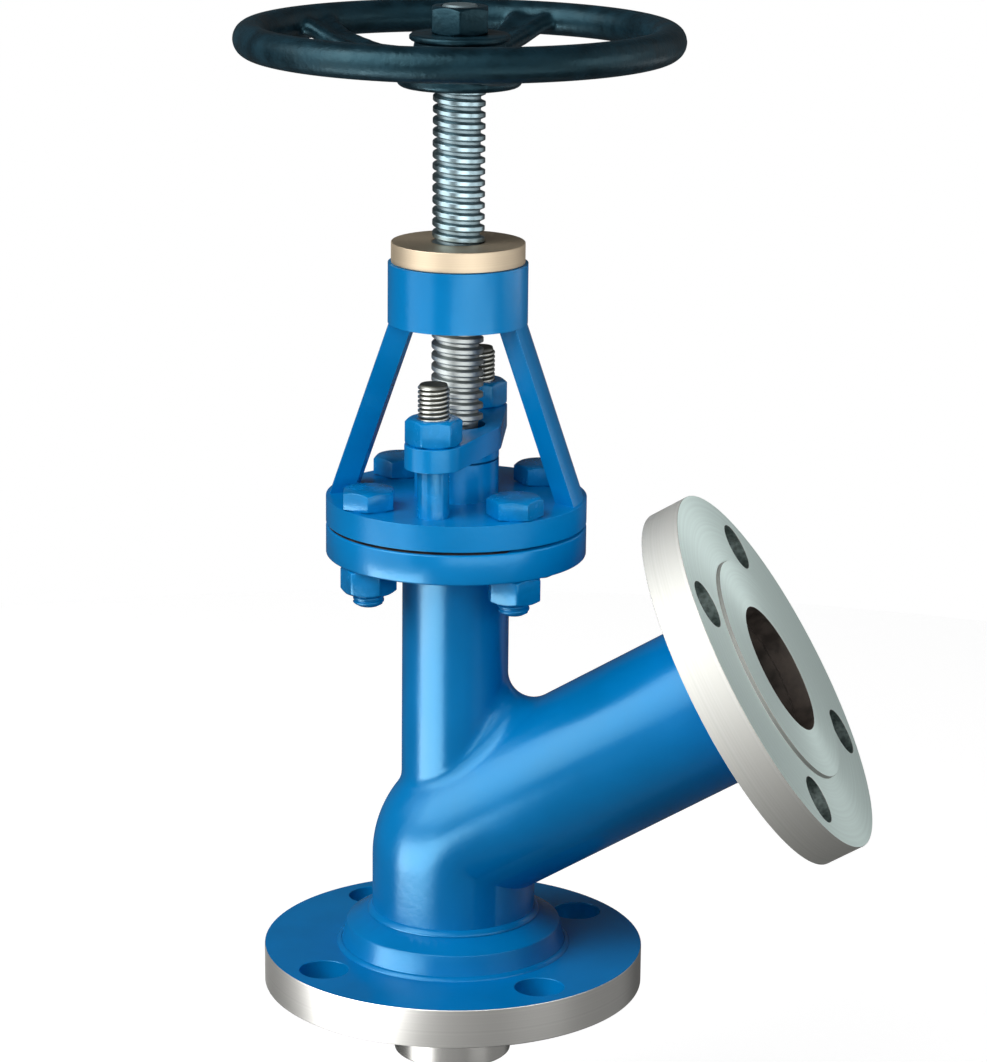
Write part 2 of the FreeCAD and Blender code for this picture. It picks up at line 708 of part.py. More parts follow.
def oval_outline(body, name):
    """Two lobes on the stud line and a wider middle, joined by tangent lines."""
    sketch = empty_sketch(body, "XY_Plane", name)
    sketch.setExpression("AttachmentOffset.Base.z", formula("gland_flange_bottom"))
    middle = size("gland_centre_radius")
    lobe = size("gland_lobe_radius")
    reach = size("stud_reach")
    lean = (middle - lobe) / reach
    across = (1 - lean ** 2) ** 0.5

    def contact(y, radius, side, end):
        return FreeCAD.Vector(side * radius * across, y + end * radius * lean, 0)

    arcs = (
        (contact(0, middle, 1, -1), FreeCAD.Vector(middle, 0, 0), contact(0, middle, 1, 1)),
        (contact(reach, lobe, 1, 1), FreeCAD.Vector(0, reach + lobe, 0), contact(reach, lobe, -1, 1)),
        (contact(0, middle, -1, 1), FreeCAD.Vector(-middle, 0, 0), contact(0, middle, -1, -1)),
        (contact(-reach, lobe, -1, -1), FreeCAD.Vector(0, -reach - lobe, 0), contact(-reach, lobe, 1, -1)),
    )
    sketch.addGeometry([Part.Arc(*points) for points in arcs], False)
    for arc, following in zip(arcs, arcs[1:] + arcs[:1]):
        sketch.addGeometry(Part.LineSegment(arc[2], following[0]), False)
    for index in range(4):
        sketch.addConstraint(Sketcher.Constraint("Tangent", index, 2, 4 + index, 1))
        sketch.addConstraint(Sketcher.Constraint("Tangent", 4 + index, 2, (index + 1) % 4, 1))
    pin_point(sketch, 0, 3, "0", "0")
    pin_point(sketch, 1, 3, "0", "stud_reach")
    pin_point(sketch, 2, 3, "0", "0")
    pin_point(sketch, 3, 3, "0", "0 - stud_reach")
    for index, radius in enumerate(("gland_centre_radius", "gland_lobe_radius") * 2):
        hold_radius(sketch, index, radius)
    return sketch


# The yoke: foot flange, spigot, stuffing box, two arms and collar in one casting


def make_yoke():
    body = new_body("yoke")
    foot = turned(body, "Foot", (
        ("free_bore", "spigot_bottom"),
        ("recess_radius - spigot_clearance", "spigot_bottom"),
        ("recess_radius - spigot_clearance", "yoke_foot"),
        ("bonnet_flange_radius", "yoke_foot"),
        ("bonnet_flange_radius", "yoke_flange_top"),
        ("box_radius", "yoke_flange_top"),
        ("box_radius", "box_top"),
        ("box_bore_radius", "box_top"),
        ("box_bore_radius", "box_bottom"),
        ("free_bore", "box_bottom"),
    ))
    slope = "(arm_foot_reach - arm_head_reach) / window_height * arm_overlap"
    low = arm_section(body, "ArmFoot", "arm_foot_reach + " + slope, "yoke_flange_top - arm_overlap")
    high = arm_section(body, "ArmHead", "arm_head_reach - " + slope, "collar_bottom + arm_overlap")
    arm = body.newObject("PartDesign::AdditiveLoft", "Arm")
    arm.Profile = low
    arm.Sections = [high]
    repeated(body, "Arms", arm, "arm_count", foot.Profile[0])
    turned(body, "Collar", (
        ("nut_bush_radius", "collar_bottom"),
        ("collar_radius", "collar_bottom"),
        ("collar_radius", "collar_top"),
        ("nut_bush_radius", "collar_top"),
    ))
    pierced(body, "CollarBore", "nut_bush_radius", "collar_height", z="collar_bottom")
    hole = pierced(
        body, "BoltHole", "bonnet_hole_radius", "yoke_flange_thickness",
        x="bonnet_bolt_circle * cos(180 / bonnet_bolt_count)",
        y="bonnet_bolt_circle * sin(180 / bonnet_bolt_count)",
        z="yoke_foot",
    )
    repeated(body, "BoltHoles", hole, "bonnet_bolt_count", foot.Profile[0])
    stud_hole = pierced(
        body, "StudHole", "fastener_radius + fit_clearance", "stud_engagement",
        x="stud_reach * sin(stud_swing)", y="stud_reach * cos(stud_swing)",
        z="yoke_flange_top - stud_engagement",
    )
    repeated(body, "StudHoles", stud_hole, "stud_count", foot.Profile[0])
    pierced(
        body, "PinHole", "bush_pin_radius + fit_clearance", "bush_pin_length / 2",
        y="bush_pin_reach", z="collar_top - bush_pin_length / 2",
    )
    return body


def arm_section(body, name, reach, height):
    """A yoke arm cut level: wider and rounded on its outer side."""
    inner = "%s - arm_thickness" % reach
    edge = "%s - arm_bulge" % reach
    sketch = outline(body, name, (
        (inner, "0 - arm_inner_width / 2"),
        (edge, "0 - arm_outer_width / 2"),
        (edge, "arm_outer_width / 2"),
        (inner, "arm_inner_width / 2"),
    ), role="XY_Plane", bulges={1: "arm_bulge"})
    sketch.setExpression("AttachmentOffset.Base.z", formula(height))
    return sketch


def make_yoke_bush():
    body = new_body("yoke_bush")
    turned(body, "Bush", (
        ("thread_radius + running_clearance", "collar_bottom"),
        ("nut_bush_radius - fit_clearance", "collar_bottom"),
        ("nut_bush_radius - fit_clearance", "collar_top"),
        ("nut_bush_flange_radius", "collar_top"),
        ("nut_bush_flange_radius", "nut_bush_top"),
        ("thread_radius + running_clearance", "nut_bush_top"),
    ))
    pierced(
        body, "PinHole", "bush_pin_radius + fit_clearance", "bush_pin_length / 2",
        y="bush_pin_reach", z="collar_top",
    )
    return body


def make_bush_pin():
    body = new_body("bush_pin")
    pin = body.newObject("PartDesign::AdditiveCylinder", "Pin")
    bind(
        pin, Radius="bush_pin_radius", Height="bush_pin_length",
        y="bush_pin_reach", z="collar_top - bush_pin_length / 2",
    )
    return body


# The handwheel and what holds it on the stem


def make_handwheel():
    body = new_body("handwheel")
    hub = turned(body, "Hub", (
        ("0", "wheel_bottom"),
        ("wheel_plate_radius", "wheel_bottom"),
        ("wheel_plate_radius", "wheel_bottom + wheel_plate_thickness"),
        ("wheel_hub_radius", "wheel_top"),
        ("0", "wheel_top"),
    ))
    roots = (
        ("Root", "wheel_hub_radius / 2", "wheel_bottom + wheel_hub_height / 2", "spoke_root_width", "0"),
        ("Waist", "rim_radius * 0.55", "wheel_bottom + spoke_waist_rise", "spoke_waist_width", "spoke_sweep"),
        ("Tip", "rim_radius - rim_tube_radius / 3", "rim_height", "spoke_tip_width", "0"),
    )
    sections = [spoke_section(body, *root) for root in roots]
    spoke = body.newObject("PartDesign::AdditiveLoft", "Spoke")
    spoke.Profile = sections[0]
    spoke.Sections = sections[1:]
    repeated(body, "Spokes", spoke, "spoke_count", hub.Profile[0])
    rim = body.newObject("PartDesign::AdditiveTorus", "Rim")
    bind(rim, Radius1="rim_radius", Radius2="rim_tube_radius", z="rim_height")
    pierced(body, "Bore", "wheel_seat_radius + fit_clearance", "wheel_hub_height", z="wheel_bottom")
    slot = body.newObject("PartDesign::SubtractiveBox", "Keyway")
    bind(
        slot, Length="wheel_seat_radius + key_width / 2 + fit_clearance",
        Width="key_width + 2 * fit_clearance", Height="wheel_hub_height",
        y="0 - key_width / 2 - fit_clearance", z="wheel_bottom",
    )
    return body


def spoke_section(body, name, reach, height, width, sweep):
    """A spoke cut square to its run: a flat oval, bowed sideways by the sweep."""
    sketch = outline(body, name, (
        ("%s + %s / 2" % (sweep, width), height),
        ("%s - %s / 2" % (sweep, width), height),
    ), role="YZ_Plane", bulges={0: "spoke_depth / 2", 1: "spoke_depth / 2"})
    sketch.AttachmentOffset.Rotation = FreeCAD.Rotation(FreeCAD.Vector(0, 1, 0), 1)
    sketch.setExpression("AttachmentOffset.Rotation.Angle", formula("spoke_turn"))
    sketch.setExpression("AttachmentOffset.Base.x", formula("(%s) * sin(spoke_turn)" % reach))
    sketch.setExpression("AttachmentOffset.Base.z", formula("(%s) * cos(spoke_turn)" % reach))
    return sketch


def make_handwheel_key():
    body = new_body("handwheel_key")
    bar = body.newObject("PartDesign::AdditiveBox", "Bar")
    bind(
        bar, Length="key_width", Width="key_width", Height="key_length",
        x="wheel_seat_radius - key_width / 2", y="0 - key_width / 2", z="wheel_bottom",
    )
    return body


def make_handwheel_washer():
    body = new_body("handwheel_washer")
    turned(body, "Washer", (
        ("wheel_thread_radius + open_clearance", "wheel_top"),
        ("washer_radius", "wheel_top"),
        ("washer_radius", "wheel_nut_bottom"),
        ("wheel_thread_radius + open_clearance", "wheel_nut_bottom"),
    ))
    return body


# Fasteners


def make_gland_stud(index):
    body = new_body("gland_stud_%d" % (index + 1))
    rod = body.newObject("PartDesign::AdditiveCylinder", "Rod")
    bottom = "yoke_flange_top - stud_engagement"
    bind(
        rod, Radius="fastener_radius", z=bottom,
        Height="gland_nut_top + stud_projection - (%s)" % bottom,
    )
    on_circle(body, "stud_reach", index, "stud_count", "90 - stud_swing")
    return body


def make_nut(name, bottom, radius="fastener_radius", flats="fastener_flats", height="nut_height"):
    body = new_body(name)
    hexagon(body, "Hexagon", flats, height, bottom)
    pierced(body, "Thread", "%s + fit_clearance" % radius, height, z=bottom)
    return body


def make_gland_nut(index):
    body = make_nut("gland_nut_%d" % (index + 1), "gland_flange_top")
    turn = GLAND_NUT_TURNS[index]
    on_circle(body, "stud_reach", index, "stud_count", "90 - stud_swing", turn)
    return body


def make_bonnet_nut(index):
    body = make_nut("bonnet_nut_%d" % (index + 1), "bonnet_flange_bottom - nut_height")
    start = "180 / bonnet_bolt_count"
    on_circle(body, "bonnet_bolt_circle", index, "bonnet_bolt_count", start, turn=NUT_TURNS[index])
    return body


def make_handwheel_nut():
    body = make_nut(
        "handwheel_nut", "wheel_nut_bottom", "wheel_thread_radius", "wheel_nut_flats",
        "wheel_nut_height",
    )
    body.Placement.Rotation = FreeCAD.Rotation(FreeCAD.Vector(0, 0, 1), WHEEL_NUT_TURN)
    return body


def make_bonnet_bolt(index):
    body = new_body("bonnet_bolt_%d" % (index + 1))
    hexagon(body, "Head", "fastener_flats", "head_height", "yoke_flange_top")
    shank = body.newObject("PartDesign::AdditiveCylinder", "Shank")
    bind(
        shank, Radius="fastener_radius", Height="bonnet_bolt_length",
        z="yoke_flange_top - bonnet_bolt_length",
    )
    start = "180 / bonnet_bolt_count"
    on_circle(body, "bonnet_bolt_circle", index, "bonnet_bolt_count", start, turn=HEAD_TURNS[index])
    return body


# Assembly


def make_all():
    """Every piece of the valve, in the order of its assembly from the tank up."""
    pieces = [
        make_tank_flange(),
        make_valve_body(),
        make_outlet_pipe(),
        make_outlet_flange(),
        make_seat_ring(),
        make_seat_gasket(),
        make_disc(),
        make_disc_nut(),
        make_split_ring("split_ring_left", 1),
        make_split_ring("split_ring_right", -1),
        make_stem(),
        make_guide_bush(),
        make_bonnet_gasket(),
        make_yoke(),
        make_packing_base_ring(),
        make_gland_follower(),
        make_gland_flange(),
        make_yoke_bush(),
        make_bush_pin(),
        make_handwheel(),
        make_handwheel_key(),
        make_handwheel_washer(),
        make_handwheel_nut(),
    ]
    pieces += [make_packing_ring(index) for index in range(int(size("packing_count")))]
    for index in range(int(size("stud_count"))):
        pieces += [make_gland_stud(index), make_gland_nut(index)]
    for index in range(int(size("bonnet_bolt_count"))):
        pieces += [make_bonnet_bolt(index), make_bonnet_nut(index)]
    return pieces


def check(pieces):
    """Stop if a feature failed or a piece isn't one sound solid."""
    for item in document.Objects:
        if {"Invalid", "Error"} & set(item.State):
            raise RuntimeError("%s failed: %s" % (item.Label, item.State))
    for piece in pieces:
        shape = piece.Shape
        if shape.isNull() or not shape.isValid() or len(shape.Solids) != 1:
            raise RuntimeError("%s is not one valid solid" % piece.Label)


def write(pieces):
    """Each piece in a file of its own."""
    os.makedirs("parts", exist_ok=True)
    for piece in pieces:
        piece.Shape.exportStep("parts/%s.step" % piece.Label)
        print("%-20s %9.1f mm3" % (piece.Label, piece.Shape.Volume))


parts = make_all()
document.recompute()
check(parts)
write(parts)
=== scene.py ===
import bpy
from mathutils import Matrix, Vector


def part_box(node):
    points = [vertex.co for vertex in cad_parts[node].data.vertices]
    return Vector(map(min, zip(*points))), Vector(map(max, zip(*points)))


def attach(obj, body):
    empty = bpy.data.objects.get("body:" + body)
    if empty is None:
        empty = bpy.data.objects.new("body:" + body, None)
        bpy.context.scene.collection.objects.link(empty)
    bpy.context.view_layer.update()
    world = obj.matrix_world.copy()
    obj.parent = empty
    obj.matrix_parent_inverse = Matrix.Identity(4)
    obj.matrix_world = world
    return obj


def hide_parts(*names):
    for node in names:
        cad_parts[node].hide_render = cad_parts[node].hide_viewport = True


bl_info = {
    "name": "Flush bottom valve",
    "version": (1, 0, 0),
    "blender": (4, 5, 0),
    "location": "View3D > Sidebar > Valve",
    "description": "Threads, eased edges, enamel, bare metal and a stage for a flush bottom valve",
    "category": "Object",
}

from math import atan2, ceil, copysign, cos, degrees, hypot, pi, radians, sin, tan

import bmesh
import bpy
from mathutils import Matrix, Vector

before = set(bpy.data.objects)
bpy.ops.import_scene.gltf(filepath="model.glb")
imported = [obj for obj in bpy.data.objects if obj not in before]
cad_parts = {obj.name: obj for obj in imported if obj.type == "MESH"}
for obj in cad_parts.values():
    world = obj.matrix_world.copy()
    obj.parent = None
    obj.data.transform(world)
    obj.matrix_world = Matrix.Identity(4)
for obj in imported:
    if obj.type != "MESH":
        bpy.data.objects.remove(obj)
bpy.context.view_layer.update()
MM = 0.001


# Measures that follow the solids


def low(node):
    """Height of a solid's underside, in metres."""
    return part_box(node)[0].z


def high(node):
    """Height of a solid's top, in metres."""
    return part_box(node)[1].z


def centre(node):
    """Middle of a solid seen from above."""
    lo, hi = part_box(node)
    return Vector(((lo.x + hi.x) / 2, (lo.y + hi.y) / 2, 0))


# The branch leaves the stem axis here, this far from upright; the directions along it and uphill across it
JOINT = Vector((0, 0, 60.6 * MM))
TILT = radians(59.1)
ALONG = Vector((sin(TILT), 0, cos(TILT)))
UPHILL = Vector((-cos(TILT), 0, sin(TILT)))
# A wall nearer to its axis than this is a bore's
TANK_BORE, OUTLET_BORE, TUBE_BORE, NECK_BORE = 31 * MM, 33 * MM, 26.4 * MM, 14.2 * MM
# The tank flange is bare from this far inside its edge
RIM_BAND = 1.2 * MM
# The outlet flange's bolt holes: radius, and how far each stands from the middle, both ways
HOLE_REACH, HOLE_PLACE = 9.525 * MM, 60.325 * MM / 2 ** 0.5
# Above this height, the body's edges are the bonnet flange's
BONNET_EDGES = 150 * MM
# Weld beads at the feet of tube and hub: radius and height of the corner, and the bead's leg
BEADS = (
    (32.2 * MM, 29.4 * MM, 1.9 * MM),
    (44.8 * MM, 15.4 * MM, 1.5 * MM),
)
BEAD_SUNK = 0.3 * MM
# A bead's round face, out and up, in shares of its leg
BEAD_FACE = ((1, 0.1), (0.72, 0.42), (0.42, 0.72), (0.1, 1))
# Bolts, studs and nuts: radius, width across the flats, and a bolt's length under its head
BOLT_REACH, BOLT_FLATS, BOLT_LENGTH = 6 * MM, 19 * MM, 40 * MM
# How many steps one turn of a thread has, on bolts and studs and on the stem
THREAD_STEPS, STEM_STEPS = 32, 48
# How each hexagon is turned, as the solids are, in degrees
HEAD_TURNS = (11, 24, 41, 7)
NUT_TURNS = (33, 18, 5, 47)
GLAND_NUT_TURNS = (9, 17)
WHEEL_NUT_TURN = 41
# The stem: radius of thread, plain shank, split ring's groove and square end
STEM_REACH, STEM_PLAIN, STEM_GROOVE, STEM_END = 10 * MM, 8 * MM, 6 * MM, 7 * MM
# The handwheel's hub, as radius and height over its foot in millimetres, and its rim's thickness
HUB_BORE, HUB_TOP = 8.1 * MM, 17 * MM
HUB_FLARE = ((22.3, 0), (23.8, 1.6), (23.6, 5), (21.5, 6.8), (18, 11))
RIM_THICKNESS = 13.2 * MM
# Its spokes: how many, the first one's turn in degrees, and how many stretches each has
SPOKES, SPOKE_TURN, SPOKE_STEPS = 5, 5.8, 16
# From this radius to that one, bowed sideways, in millimetres; then sizes by the share of the way out
SPOKE_FROM, SPOKE_TO, SPOKE_BOW = 6, 77, 5
SPOKE_RISE = ((0, 8.7), (0.2, 8.7), (0.5, 9.4), (0.75, 12.6), (0.9, 16.6), (1, 17.8))
SPOKE_WIDTH = ((0, 22), (0.25, 19), (0.5, 15.5), (0.75, 15), (0.9, 18), (1, 26))
SPOKE_DEPTH = ((0, 9), (0.5, 8), (0.9, 8), (1, 9))
# The camera: how far it stands round to the right, looks down and leans, and the point that it looks at
VIEW_TURN, VIEW_PITCH, VIEW_ROLL = radians(10.83), radians(14.595), radians(0.5825)
VIEW_TARGET = Vector((14.21, 2.72, 183.89)) * MM
# White panels that metal and enamel mirror, in degrees: from and to, to the right of the camera, then
# from and to above the horizon, how soft the edge is, and last the strength
PANELS = (
    (-88, -40, -80, 62, 6, 3.0),
    (-105, -50, 16, 62, 8, 2.4),
    (-34, 30, -80, 22, 10, 0.3),
    (-40, 60, 22, 60, 10, 0.9),
    (34, 70, -24, 22, 8, 0.8),
    (66, 135, 4, 50, 8, 0.4),
    (66, 135, -34, 4, 8, 0.24),
)
# Points nearer to each other than this are one
MERGE = 0.002 * MM


# Colours and settings


def linear(code):
    """An sRGB colour of six hex digits, in linear light."""
    parts = [int(code[i:i + 2], 16) / 255 for i in (0, 2, 4)]
    return tuple(p / 12.92 if p <= 0.04045 else ((p + 0.055) / 1.055) ** 2.4 for p in parts)


def opaque(code):
    """An sRGB colour of six hex digits, with its alpha."""
    return linear(code) + (1,)


def shade(rgb, factor):
    """A colour made lighter or darker, with its alpha."""
    return tuple(min(1, part * factor) for part in rgb) + (1,)


def colour(name, description, code):
    """A colour that a user may change."""
    return bpy.props.FloatVectorProperty(
        name=name, description=description, subtype="COLOR", size=3, min=0, max=1, default=linear(code),
    )


def amount(name, description, default, **kind):
    """A number of 0 or more that a user may change."""
    return bpy.props.FloatProperty(name=name, description=description, default=default, min=0, **kind)


def length(name, description, default):
    """A length that a user may change, given in millimetres."""
    return amount(name, description, default * MM, unit="LENGTH", precision=5)


class ValveFinish(bpy.types.PropertyGroup):
    """Colours of the valve's coatings and metals"""

    enamel: colour("Enamel", "Blue enamel on castings and fasteners", "007ABC")
    steel: colour("Turned steel", "Bare rim of the tank flange, disc and seat", "C9C8C4")
    outlet: colour("Outlet rim", "Bare rim of the outlet flange", "979793")
    facing: colour("Sealing face", "Sealing face of the outlet flange", "D9EBE7")
    stem: colour("Stem steel", "Stainless steel of the stem", "879CA3")
    stud: colour("Stud steel", "Plated steel of the gland studs", "9A9C97")
    bronze: colour("Bronze", "Threaded bush in the yoke", "A99B86")
    lacquer: colour("Wheel lacquer", "Dark lacquer on the iron handwheel", "0B2029")
    bore: colour("Bore", "Unpainted casting inside the flow passage", "4A423C")


class ValveDetail(bpy.types.PropertyGroup):
    """Sizes of the detail that the solids leave out"""

    edge: length("Casting edge", "Rounding of the edges of castings", 1.0)
    machined_edge: length("Machined edge", "Rounding of the edges of turned pieces", 0.5)
    stem_pitch: length("Stem pitch", "Advance of the stem's thread in one turn", 4.3)
    stem_depth: length("Stem thread depth", "Depth of the stem's thread", 1.8)
    stud_pitch: length("Stud pitch", "Advance of the studs' thread in one turn", 1.75)
    stud_depth: length("Stud thread depth", "Depth of the studs' thread", 0.95)


class ValveStage(bpy.types.PropertyGroup):
    """Camera, lamps and floor"""

    lens: amount("Lens", "Focal length on a 36 mm frame", 122.61, subtype="DISTANCE_CAMERA")
    distance: length("Distance", "From the camera to the point that it looks at", 1401)
    floor_drop: length("Floor drop", "Floor below the disc when the valve is open", 60)
    key: amount("Key lamp", "Large lamp on the left", 30, unit="POWER")
    fill: amount("Fill lamp", "Small lamp on the right", 0.75, unit="POWER")
    strip: amount("Yoke lamp", "Strip in front of the yoke", 0.12, unit="POWER")
    neck: amount("Neck lamp", "Glint on neck and tube", 2.1, unit="POWER")
    collar: amount("Collar lamp", "Glint on the yoke's collar", 0.46, unit="POWER")
    stem: amount("Stem lamp", "Glint on the stem's thread", 0.09, unit="POWER")
    world: amount("Surroundings", "Light from all round", 0.055)
    mirrored: amount("Mirrored surroundings", "What metal and enamel mirror between the panels", 0.07)


# Materials

# A Mix node's sockets go by number: factor, two values, two colours, and its two results
FACTOR, VALUE_A, VALUE_B, COLOUR_A, COLOUR_B = 0, 2, 3, 6, 7
VALUE_OUT, COLOUR_OUT = 0, 2
# Gloss of the coatings, with a blue cast like their pigment's
ENAMEL_GLOSS = {"IOR": 1.5, "Specular IOR Level": 0.4, "Specular Tint": (0.36, 0.8, 1, 1)}
LACQUER_GLOSS = {"IOR": 1.5, "Specular IOR Level": 0.3, "Specular Tint": (0.36, 0.82, 1, 1)}


def add(tree, kind, values=(), links=(), **settings):
    """A node with its settings, its sockets' values and its links."""
    node = tree.nodes.new("ShaderNode" + kind)
    for setting, value in settings.items():
        setattr(node, setting, value)
    for socket, value in dict(values).items():
        node.inputs[socket].default_value = value
    for socket, source in dict(links).items():
        tree.links.new(source, node.inputs[socket])
    return node


def surface(name, values=()):
    """A material, its node tree and its shader, whose constants are set."""
    material = bpy.data.materials.new(name)
    material.use_nodes = True
    shader = material.node_tree.nodes["Principled BSDF"]
    for socket, value in dict(values).items():
        shader.inputs[socket].default_value = value
    return material, material.node_tree, shader


def grained(tree, shader, place, size, depth):
    """A skin of bumps of that size and depth."""
    grain = add(tree, "TexNoise", {"Scale": 1 / size, "Detail": 2}, {"Vector": place})
    bump = add(tree, "Bump", {"Strength": 1, "Distance": depth}, {"Height": grain.outputs["Fac"]})
    tree.links.new(bump.outputs["Normal"], shader.inputs["Normal"])


def patchy(name, dark, light, patch, roughness, grain, depth, values=()):
    """Two near shades that drift into each other over patches, under a grained skin.

    roughness gives the gloss of the darker shade and of the lighter one.
    """
    material, tree, shader = surface(name, values)
    place = add(tree, "TexCoord").outputs["Object"]
    cloud = add(tree, "TexNoise", {"Scale": 1 / patch, "Detail": 3}, {"Vector": place})
    # The noise keeps near its middle, so that part is spread over the whole range
    spread = add(tree, "MapRange", {"From Min": 0.35, "From Max": 0.65}, {"Value": cloud.outputs["Fac"]})
    share = spread.outputs["Result"]
    tone = add(tree, "Mix", {COLOUR_A: dark, COLOUR_B: light}, {FACTOR: share}, data_type="RGBA")
    tree.links.new(tone.outputs[COLOUR_OUT], shader.inputs["Base Color"])
    smooth, rough = roughness
    gloss = add(tree, "MapRange", {"To Min": smooth, "To Max": rough}, {"Value": share})
    tree.links.new(gloss.outputs["Result"], shader.inputs["Roughness"])
    grained(tree, shader, place, grain, depth)
    return material


def enamel_on_casting(finish):
    """Alkyd enamel sprayed on cast steel: satin, with orange peel over the sand's grain."""
    return patchy(
        "Enamel_sprayed_on_cast_steel", shade(finish.enamel, 0.93), shade(finish.enamel, 1.05),
        patch=35 * MM, roughness=(0.2, 0.26), grain=2.2 * MM, depth=0.05 * MM, values=ENAMEL_GLOSS,
    )


def enamel_on_fasteners(finish):
    """The same enamel brushed over forged fasteners: a little darker, with thick and thin places."""
    return patchy(
        "Enamel_brushed_on_forged_steel", shade(finish.enamel, 0.78), shade(finish.enamel, 0.98),
        patch=7 * MM, roughness=(0.2, 0.28), grain=1.6 * MM, depth=0.06 * MM, values=ENAMEL_GLOSS,
    )


def wheel_lacquer(finish):
    """Dark lacquer dipped over sand-cast iron: uneven gloss over a coarse skin."""
    return patchy(
        "Lacquer_dipped_on_cast_iron", shade(finish.lacquer, 0.62), shade(finish.lacquer, 1.15),
        patch=9 * MM, roughness=(0.32, 0.46), grain=1.8 * MM, depth=0.16 * MM, values=LACQUER_GLOSS,
    )


def cast_bore(finish):
    """Unpainted casting in the flow passage, stained by what runs through."""
    return patchy(
        "Cast_steel_stained", shade(finish.bore, 0.6), shade(finish.bore, 1.25),
        patch=6 * MM, roughness=(0.5, 0.75), grain=1.5 * MM, depth=0.15 * MM, values={"Metallic": 0.4},
    )


def drilled_hole_shade(finish):
    """The bolt holes' walls: drilled steel under a grey-green film, painted dark as the shade down in the
    holes.
    """
    return patchy(
        # Both shades are dark as painted shade inside the holes
        "Steel_drilled_painted_shade", opaque("3C4845"), opaque("5C6B67"),
        patch=1.6 * MM, roughness=(0.45, 0.6), grain=0.9 * MM, depth=0.08 * MM, values={"Metallic": 0.3},
    )


def gasket_sheet(finish):
    """Compressed fibre sheet, cut: dull, with short dark fibres."""
    return patchy(
        "Fibre_sheet_compressed", opaque("2B2B2A"), opaque("444340"),
        patch=2 * MM, roughness=(0.7, 0.9), grain=0.6 * MM, depth=0.05 * MM,
    )


def braided_graphite(finish):
    """Graphite packing, braided and pressed: near black, with a faint sheen on a lumpy braid."""
    return patchy(
        "Graphite_braided", opaque("1E1E20"), opaque("37373A"),
        patch=1.5 * MM, roughness=(0.4, 0.6), grain=1.2 * MM, depth=0.2 * MM,
    )


def ground_steel(finish):
    """Hardened steel, ground, for pins, key and split ring: even and bright."""
    return patchy(
        "Steel_hardened_ground", opaque("75787A"), opaque("A0A3A5"),
        patch=5 * MM, roughness=(0.25, 0.35), grain=0.5 * MM, depth=0.01 * MM, values={"Metallic": 1},
    )


def from_axis(tree, point):
    """How far a point lies from the upright axis of its coordinates."""
    flat = add(tree, "VectorMath", {1: (1, 1, 0)}, {0: point}, operation="MULTIPLY").outputs["Vector"]
    return add(tree, "VectorMath", links={0: flat}, operation="LENGTH").outputs["Value"]


def turned_metal(name, rgb, roughness, marks, origin=(0, 0, 0), tilt=0.0, glint=0.6, metallic=1.0):
    """Metal turned on a lathe: fine rings about the piece's axis and a glint drawn out across them.

    A lathe's own marks, about 0.2 mm apart, are too fine to show and are drawn several times as coarse.
    """
    shine = {"Metallic": metallic, "Roughness": roughness, "Anisotropic": glint}
    material, tree, shader = surface(name, shine)
    place = add(tree, "TexCoord").outputs["Object"]
    axes = {"Location": origin, "Rotation": (0, tilt, 0)}
    own = add(tree, "Mapping", axes, {"Vector": place}, vector_type="TEXTURE").outputs["Vector"]
    rise = add(tree, "SeparateXYZ", links={"Vector": own}).outputs["Z"]
    run = add(tree, "Math", links={0: from_axis(tree, own), 1: rise}, operation="ADD").outputs["Value"]
    noise = add(tree, "TexNoise", {"Scale": 1 / marks, "Detail": 3}, {"W": run}, noise_dimensions="1D")
    rings = noise.outputs["Fac"]
    tones = {COLOUR_A: shade(rgb, 0.9), COLOUR_B: shade(rgb, 1.06)}
    tone = add(tree, "Mix", tones, {FACTOR: rings}, data_type="RGBA")
    tree.links.new(tone.outputs[COLOUR_OUT], shader.inputs["Base Color"])
    bump = add(tree, "Bump", {"Strength": 0.5, "Distance": 0.012 * MM}, {"Height": rings})
    tree.links.new(bump.outputs["Normal"], shader.inputs["Normal"])
    axis = Matrix.Rotation(tilt, 3, "Y") @ Vector((0, 0, 1))
    out = add(tree, "VectorMath", {1: origin}, {0: place}, operation="SUBTRACT").outputs["Vector"]
    round_axis = add(tree, "VectorMath", {0: axis}, {1: out}, operation="CROSS_PRODUCT")
    tree.links.new(round_axis.outputs["Vector"], shader.inputs["Tangent"])
    return material


def turned_steel(finish):
    """Flange steel faced on a lathe and left bare: a soft silver band."""
    return turned_metal("Steel_turned_tank_flange", finish.steel, 0.3, 0.9 * MM)


def faced_steel(finish):
    """The outlet flange's rim, turned about the branch's axis: duller and greyer."""
    return turned_metal("Steel_turned_outlet_flange", finish.outlet, 0.58, 0.9 * MM, origin=JOINT, tilt=TILT)


def sealing_face(finish):
    """The outlet's sealing face: fine concentric grooves that hold a gasket, under a pale green film."""
    return turned_metal(
        "Steel_grooved_sealing_face", finish.facing, 0.52, 1.3 * MM,
        origin=JOINT, tilt=TILT, glint=0.7, metallic=0.2,
    )


def seat_steel(finish):
    """Stainless steel of disc and seat ring, finely turned: the brightest of the metals."""
    return turned_metal("Stainless_steel_fine_turned", finish.steel, 0.24, 0.6 * MM)


def turned_bronze(finish):
    """Aluminium bronze, turned: a pale, warm grey."""
    return turned_metal("Aluminium_bronze_turned", finish.bronze, 0.5, 0.8 * MM, glint=0.3)


